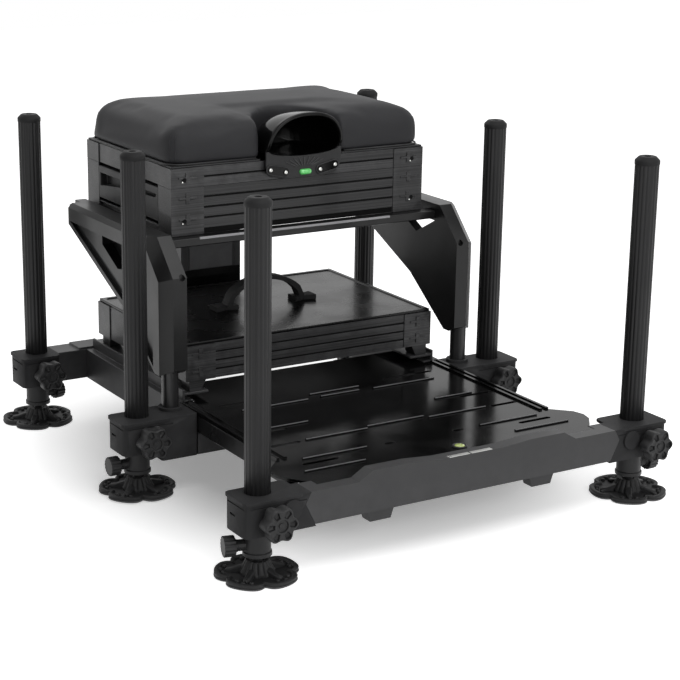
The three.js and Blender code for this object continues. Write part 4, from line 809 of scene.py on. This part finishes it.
cushion, cushion_low, cushion_high = seat_cushion_piece()
largest_move = 0.0
largest_move = blow_up(cushion, cushion_low)
smooth = cushion.modifiers.new("relax", "CORRECTIVE_SMOOTH")
smooth.iterations = 6
smooth.use_only_smooth = True
cushion.modifiers.new("finer", "SUBSURF").levels = 1
settle_modifiers(cushion)
for polygon in cushion.data.polygons:
    polygon.use_smooth = True
join_to_body(cushion, "seat", "vinyl", replaced="seat_cushion")
print("cushion moved by up to", round(largest_move * 1000, 1), "mm,", len(cushion.data.polygons), "faces")

# %% [markdown]
# A bead runs round the pad's foot, where the vinyl is pulled under the seat's base. It is a thin
# tube that follows the pad's outline and stops at each side of the pole socket.


# %% Cushion bead
def tube_along(name, path, radius, sides=8, closed=False):
    """A round tube through the points of a path, open at both ends or closed into a ring."""
    rings = []
    for at, point in enumerate(path):
        before = path[at - 1] if at or closed else point
        after = path[(at + 1) % len(path)] if at < len(path) - 1 or closed else point
        along = (Vector(after) - Vector(before)).normalized()
        side = along.cross(Vector((0, 0, 1)))
        if side.length < 1e-6:
            side = Vector((1, 0, 0))
        side.normalize()
        if rings and side.dot(last_side) < 0:
            side.negate()
        last_side = side
        over = side.cross(along)
        rings.append([tuple(Vector(point) + radius * (cos(a) * side + sin(a) * over))
                      for a in full_turn(sides)])
    return skin(name, rings, loop=closed)


bead_half_x, bead_front, bead_rear, bead_corner = 0.2285, 0.0725 + centre_shift, 0.3705 + centre_shift, 0.026
bead_z, bead_end, bead_radius, corner_steps = 0.4783, 0.08, 0.0016, 8
turn_x, turn_front, turn_rear = bead_half_x - bead_corner, bead_front + bead_corner, bead_rear - bead_corner
bead_path = [(bead_end, bead_front, bead_z)]
for corner_x, corner_y, start in ((turn_x, turn_front, -90), (turn_x, turn_rear, 0),
                                  (-turn_x, turn_rear, 90), (-turn_x, turn_front, 180)):
    bead_path += [(x, y, bead_z) for x, y in arc(corner_x, corner_y, bead_corner, start, 90, corner_steps)]
bead_path.append((-bead_end, bead_front, bead_z))
bead = tube_along("cushion_bead", bead_path, bead_radius)
join_to_body(bead, "seat", "moulded")
print("bead points:", len(bead_path))

# %% [markdown]
# The vinyl is folded at each upright corner, which leaves two fine pleats side by side. Each is
# a thin tube laid on the surface, found by looking from outside towards the corner's own centre.

# %% Corner pleats
pleat_inset, pleat_spread, pleat_foot, pleat_step, pleat_radius = 0.03, 9, 0.006, 0.0032, 0.0007
pleat_points, look_from, look_reach = 13, 0.2, 0.25
surface = BVHTree.FromObject(cushion, bpy.context.evaluated_depsgraph_get())
pleats = 0
for corner_x, corner_y in ((-1, -1), (1, -1), (-1, 1), (1, 1)):
    middle_x = corner_x * (cushion_high.x - pleat_inset)
    middle_y = cushion_low.y + pleat_inset if corner_y < 0 else cushion_high.y - pleat_inset
    for offset in (-pleat_spread, pleat_spread):
        turn = atan2(corner_y, corner_x) + radians(offset)
        outward = Vector((cos(turn), sin(turn), 0))
        path = []
        for step in range(pleat_points):
            height = cushion_low.z + pleat_foot + pleat_step * step
            start = Vector((middle_x, middle_y, height)) + outward * look_from
            hit = surface.ray_cast(start, -outward, look_reach)[0]
            if hit:
                path.append(hit)
        if len(path) > 3:
            pleat = tube_along(f"cushion_pleat_{pleats}", path, pleat_radius, sides=6)
            join_to_body(pleat, "seat", "vinyl")
            pleats += 1
print("corner pleats:", pleats)

# %% [markdown]
# ## The pole socket
# A glossy black hood, open to the front, that a pole's butt slides into. Outside and inside are
# one skin that turns round a rounded rim at the mouth. Each ring is an arch over a shallow bowl,
# and a smooth curve runs through the four places where the solid was measured.


# %% Pole socket hood
def curve_through(places, values, at):
    """A smooth curve through values at places, by the Catmull-Rom rule."""
    last = len(places) - 2
    span = max(index for index in range(last + 1) if index == 0 or places[index] <= at)
    share = (at - places[span]) / (places[span + 1] - places[span])
    p0, p1 = values[max(span - 1, 0)], values[span]
    p2, p3 = values[span + 1], values[min(span + 2, last + 1)]
    return 0.5 * (2 * p1 + (p2 - p0) * share + (2 * p0 - 5 * p1 + 4 * p2 - p3) * share ** 2
                  + (3 * p1 - p0 - 3 * p2 + p3) * share ** 3)


mouth_wide_z, mouth_half, mouth_bowl = 0.488, 0.062, 0.0098
mouth_y, hood_end_y, inner_end_y, mouth_lean = 0.066, 0.152, 0.147, 0.019
hood_places = [mouth_y, 0.1, 0.132, hood_end_y]
hood_outside = {"half": [0.068, 0.0646, 0.049, 0.0272], "top": [0.548, 0.542, 0.53, 0.515],
                "foot": [0.4744, 0.4744, 0.4769, 0.4829], "lean": [mouth_lean, 0.004, 0, 0]}
hood_inside = {"half": [0.062, 0.0577, 0.0397, 0.0186], "top": [0.542, 0.53, 0.524, 0.509],
               "foot": [0.478, 0.478, 0.4829, 0.4859], "lean": [mouth_lean, 0.004, 0, 0]}
box_power, hood_steps = 0.85, 72


def hood_ring(half, top, foot, lean, y):
    ring = []
    for angle in full_turn(hood_steps):
        across = copysign(abs(cos(angle)) ** box_power, cos(angle))
        rise = copysign(abs(sin(angle)) ** box_power, sin(angle))
        height = (top - mouth_wide_z) * rise if rise > 0 else (mouth_wide_z - foot) * rise
        ring.append((half * across, y + centre_shift - lean * sqrt(max(rise, 0)), mouth_wide_z + height))
    return ring


def hood_skin(shape, places):
    return [hood_ring(*(curve_through(hood_places, values, y) for values in shape.values()), y)
            for y in places]


outer_steps, inner_steps = 18, 16
outer_places = [hood_end_y - (hood_end_y - mouth_y) * step / outer_steps for step in range(outer_steps + 1)]
inner_places = [mouth_y + (inner_end_y - mouth_y) * step / inner_steps for step in range(inner_steps + 1)]
rim_half, rim_top, rim_foot, rim_wide, rim_thin = 0.065, 0.545, 0.4762, 0.003, 0.0018
rim = [hood_ring(rim_half + rim_wide * cos(turn), rim_top + rim_wide * cos(turn),
                 rim_foot - rim_thin * cos(turn), mouth_lean, mouth_y - rim_thin * sin(turn))
       for turn in (pi * step / 6 for step in range(1, 6))]
hood = skin("pole_socket_hood",
            hood_skin(hood_outside, outer_places) + rim + hood_skin(hood_inside, inner_places))
crease(hood, 60)
join_to_body(hood, "seat", "glossy_plastic", replaced="pole_socket")
print("hood faces:", len(hood.data.polygons))

# %% [markdown]
# Below the mouth hangs a lip with two slanted pods, whose screws come later. Fine ribs fan out
# above the place where the green spirit level goes.


# %% Lip, pods and ribs
def plate_from_outline(name, outline, front_y, rear_y, round_width):
    """A plate that faces forward, from an outline in X and Z, with its edges rounded."""
    front = [(x, front_y, z) for x, z in outline]
    rear = [(x, rear_y, z) for x, z in outline]
    count = len(outline)
    faces = [tuple(range(count)), tuple(reversed(range(count, 2 * count)))]
    faces += [(at, at + count, (at + 1) % count + count, (at + 1) % count) for at in range(count)]
    mesh = bpy.data.meshes.new(name)
    mesh.from_pydata(front + rear, [], faces)
    clean_mesh(mesh, face_out=True)
    piece = new_object(name, mesh)
    round_edges(piece, round_width, 25)
    return piece


def rectangle(first_x, last_x, low_z, high_z):
    return [(first_x, low_z), (last_x, low_z), (last_x, high_z), (first_x, high_z)]


def rounded_bar(half_length, half_height):
    reach = half_length - half_height
    return arc(reach, 0, half_height, -90, 180, 6) + arc(-reach, 0, half_height, 90, 180, 6)


lip_rear = 0.0661 + centre_shift
lip_front = lip_rear - 0.005
lip_outline = [(-0.034, 0.4435), (0.034, 0.4435), (0.0578, 0.4485), (0.068, 0.4635), (0.068, 0.488)]
lip_outline += [(mouth_half * cos(turn), mouth_wide_z - mouth_bowl * sin(turn))
                for turn in (pi * step / 24 for step in range(25))]
lip_outline += [(-0.068, 0.488), (-0.068, 0.4635), (-0.0578, 0.4485)]
lip = plate_from_outline("socket_lip", lip_outline, lip_front, lip_rear, 0.0012)
join_to_seat(lip, "moulded")

pod_slope, pod_x, pod_z, row_shift = radians(12), 0.045, 0.4572, -0.003
pod_front, pod_half_length, pod_half_height = lip_front - 0.0012, 0.0205, 0.0075
for sign, side in left_and_right:
    turned = [(sign * pod_x + row_shift + x * cos(pod_slope) - sign * z * sin(pod_slope),
               pod_z + sign * x * sin(pod_slope) + z * cos(pod_slope))
              for x, z in rounded_bar(pod_half_length, pod_half_height)]
    pod = plate_from_outline(f"socket_pod_{side}", turned, pod_front, lip_front + 0.0015, 0.0006)
    join_to_seat(pod)
    rim_path = [(x, pod_front, z) for x, z in turned]
    pod_rim = tube_along(f"socket_pod_rim_{side}", rim_path, 0.0011, closed=True)
    join_to_seat(pod_rim, "moulded")

fan_z, fan_start, fan_step, socket_ribs, rib_half = 0.459, -48, 12, 9, 0.0009
for index in range(socket_ribs):
    fan = radians(fan_start + fan_step * index)
    inner_x, inner_z = 0.018 * sin(fan), fan_z + 0.004 * cos(fan)
    outer_x, outer_z = 0.046 * sin(fan), fan_z + 0.017 * cos(fan)
    across = Vector((outer_z - inner_z, 0, inner_x - outer_x)).normalized() * rib_half
    outline = [(inner_x + across.x, inner_z + across.z), (outer_x + across.x, outer_z + across.z),
               (outer_x - across.x, outer_z - across.z), (inner_x - across.x, inner_z - across.z)]
    rib = plate_from_outline(f"socket_rib_{index}", outline, lip_front - 0.0011, lip_front + 0.001, 0.0003)
    join_to_seat(rib, "profile_metal")
print("lip, pods and ribs are on the seat")

# %% [markdown]
# The rear column carries a pale plate in its recess and a black band below it. The front edge of
# the deck above carries a pale strip, a painted reflection of the rail's glossy top.

# %% Column plates and deck line
column_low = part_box("rear_column")[0]
slabs = (
    ("column_plate", rectangle(-0.0415, 0.0415, 0.2306, 0.275), (0.0004, 0.003), "column_paint"),
    ("column_band", rectangle(-0.0572, 0.0572, 0.2, 0.2295), (-0.0006, 0.001), "glossy_plastic"),
)
for name, outline, depth, finish in slabs:
    slab = plate_from_outline(name, outline, column_low.y + depth[0], column_low.y + depth[1], 0.0003)
    join_to_node(slab, "rear_column", finish)
rail_low, rail_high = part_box("deck_front_rail")
# The pale strip along the rail's top edge is a painted reflection.
reflection_outline = rectangle(-0.19, 0.156, rail_high.z - 0.0032, rail_high.z + 0.0004)
deck_line = plate_from_outline("deck_line", reflection_outline, rail_low.y - 0.0004, rail_low.y + 0.003, 0.0005)
join_to_node(deck_line, "deck_front_rail", "polished_edge")
print("column plates:", len(slabs), "and the deck's bright edge")

# %% [markdown]
# Painted highlights run along the front edges of the footplate's ribs. Each is a narrow pale strip
# with rounded edges, on both sides of the plate. The list gives each rib's two ends, in millimetres
# from the middle, and its place along Y, which is negative towards the front.

# %% Bright lines on the ribs
rib_lines = [(0, 45, -38), (0, 35, -55), (60, 176, -58), (115, 185, -150), (55, 160, -221), (0, 50, -213),
             (100, 206, -290), (131, 230, -336)]
rib_top, rib_half_width, line_below, line_above = 0.1217, 0.00175, 0.001, 0.0003
strips = []
for near_x, far_x, rib_y in rib_lines:
    for sign in (-1, 1):
        ends = sorted((sign * near_x / 1000, sign * far_x / 1000))
        front_y = rib_y / 1000 + centre_shift - rib_half_width
        strips.append(plate_from_outline("line", rectangle(*ends, rib_top - line_below, rib_top + line_above),
                                         front_y - 0.0003, front_y + 0.0008, 0.0002))
# The pale strips are painted highlights along the ribs' front edges.
tread_lines = merged("tread_lines", strips)
join_to_node(tread_lines, "footplate_panel", "tread_line")
print("bright lines:", 2 * len(rib_lines))

# %% [markdown]
# The screws are bright zinc with a domed head and a socket in it. A pair of bright zinc strips
# along the top of the beam's front, with a small break between them, is a painted highlight on that
# edge, and the trays' corner clips each have a hole painted dark as shade and a bright pin. A level
# is a rounded vial or dome of tinted liquid with a faint painted glow, which makes it look brighter than its
# colour.


# %% Screws and levels
def bright_zinc():
    material, tree = new_material("bright_zinc")
    grained = place_group(tree, grain_group, own_place(tree), Scale=2500, Roughness=0.28, Spread=0.08)
    add_shader(tree, {"Base Color": (0.62, 0.62, 0.6, 1), "Metallic": 1, "Roughness": grained["Roughness"],
                      "Normal": relief(tree, grained["Height"], 0.1, 0.0002)})
    return material


def glowing_tinted_liquid(name, deep, pale):
    material, tree = new_material(name)
    cloud = noise(tree, own_place(tree), 160, detail=2, roughness=0.5)
    tint = mix_colours(tree, cloud, (*deep, 1), (*pale, 1))
    # The liquid's faint emission is a painted glow, so that the vial shows bright.
    add_shader(tree, {"Base Color": tint, "Roughness": 0.08, "Coat Weight": 1.0,
                      "Emission Color": tint, "Emission Strength": 0.25})
    return material


finishes["zinc"] = bright_zinc()
finishes["green_level"] = glowing_tinted_liquid("green_level", (0.03, 0.36, 0.05), (0.2, 0.85, 0.24))
finishes["lime_level"] = glowing_tinted_liquid("lime_level", (0.28, 0.36, 0.06), (0.6, 0.72, 0.2))


def turned_piece(name, profile, centre, axis, sides):
    """A profile of radius and height turned about an axis through the centre."""
    turn = Vector((0, 0, 1)).rotation_difference(Vector(axis)).to_matrix()
    piece = skin(name, [[tuple(Vector(centre) + turn @ Vector(point))
                         for point in polar_ring(0, 0, height, [radius] * sides)]
                        for radius, height in profile])
    crease(piece, 45)
    return piece


forward, rightward, upward = (0, -1, 0), (1, 0, 0), (0, 0, 1)
screw_profile = [(0.0032, 0), (0.0033, 0.0008), (0.0029, 0.0017), (0.0019, 0.0022), (0.0014, 0.0021),
                 (0.0012, 0.0009), (0.0004, 0.0008)]
screw_places = [(-0.0615, 0.46), (-0.0345, 0.4545), (0.028, 0.4545), (0.055, 0.46)]
for index, (x, z) in enumerate(screw_places):
    screw = turned_piece(f"socket_screw_{index}", screw_profile, (x, lip_front - 0.0022, z), forward, 20)
    join_to_seat(screw, "zinc")

# The two bright strips paint the highlight along the top edge of the beam's front.
strip_gap, strip_end, strip_low, strip_high = 0.0015, 0.037, 0.128, 0.1295
strip_front, strip_rear = centre_shift - 0.408, centre_shift - 0.4005
for sign, side in left_and_right:
    strip_outline = rectangle(sign * strip_gap, sign * strip_end, strip_low, strip_high)
    strip = plate_from_outline(f"beam_painted_highlight_{side}", strip_outline, strip_front, strip_rear, 0.0004)
    join_to_node(strip, "front_beam", "zinc")

clip_x, clip_heights = 0.207, {"shallow_tray": 0.456, "drawer_case": 0.392}
# The clip's hole is a shallow dish in the shadow finish: painted shade.
clip_hole = [(0.0034, 0), (0.0034, 0.0002), (0.003, 0.0004), (0.0026, 0.0002), (0.0004, 0.0002)]
clip_pin = [(0.0013, 0), (0.0013, 0.0006), (0.0009, 0.0009), (0.0002, 0.001)]
clip_trim = (("hole", clip_hole, 0, 0, 20, "groove_shadow"), ("pin", clip_pin, -0.0034, -0.0036, 16, "zinc"))
for node, clip_z in clip_heights.items():
    tray_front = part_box(node)[0].y
    for sign, side in left_and_right:
        for word, profile, shift_x, shift_z, steps, finish in clip_trim:
            place = (sign * clip_x + shift_x, tray_front, clip_z + shift_z)
            trim = turned_piece(f"{node}_clip_{word}_{side}", profile, place, forward, steps)
            join_to_node(trim, node, finish)
print("clip holes and pins:", 4 * len(clip_heights))

vial = [(0.0002, 0), (0.0026, 0.0006), (0.004, 0.0022), (0.0044, 0.0046), (0.0044, 0.0164),
        (0.004, 0.0188), (0.0026, 0.0204), (0.0002, 0.021)]
seat_level = turned_piece("seat_level", vial, (-0.0085, lip_front - 0.0006, 0.4527), rightward, 32)
join_to_seat(seat_level, "green_level")

plate_top, level_x, level_y = 0.1195, 0.019, -0.353 + centre_shift
level_dome = [(0.0078, 0), (0.0078, 0.0018), (0.0068, 0.003), (0.004, 0.0036), (0.0004, 0.0038)]
level_place = (level_x, level_y, plate_top - 0.0004)
footplate_level = turned_piece("footplate_level", level_dome, level_place, upward, 32)
join_to_body(footplate_level, "footplate", "glossy_plastic", finish="lime_level")
bezel = [(0.008, 0), (0.0112, 0), (0.0112, 0.0018), (0.0102, 0.0026), (0.0084, 0.0026), (0.008, 0.002)]
bezel_rings = [polar_ring(level_x, level_y, plate_top - 0.0003 + height, [radius] * 40)
               for radius, height in bezel]
level_bezel = skin("footplate_level_bezel", bezel_rings, loop=True)
join_to_body(level_bezel, "footplate", "moulded")
print("screws:", len(screw_places), "and two levels")
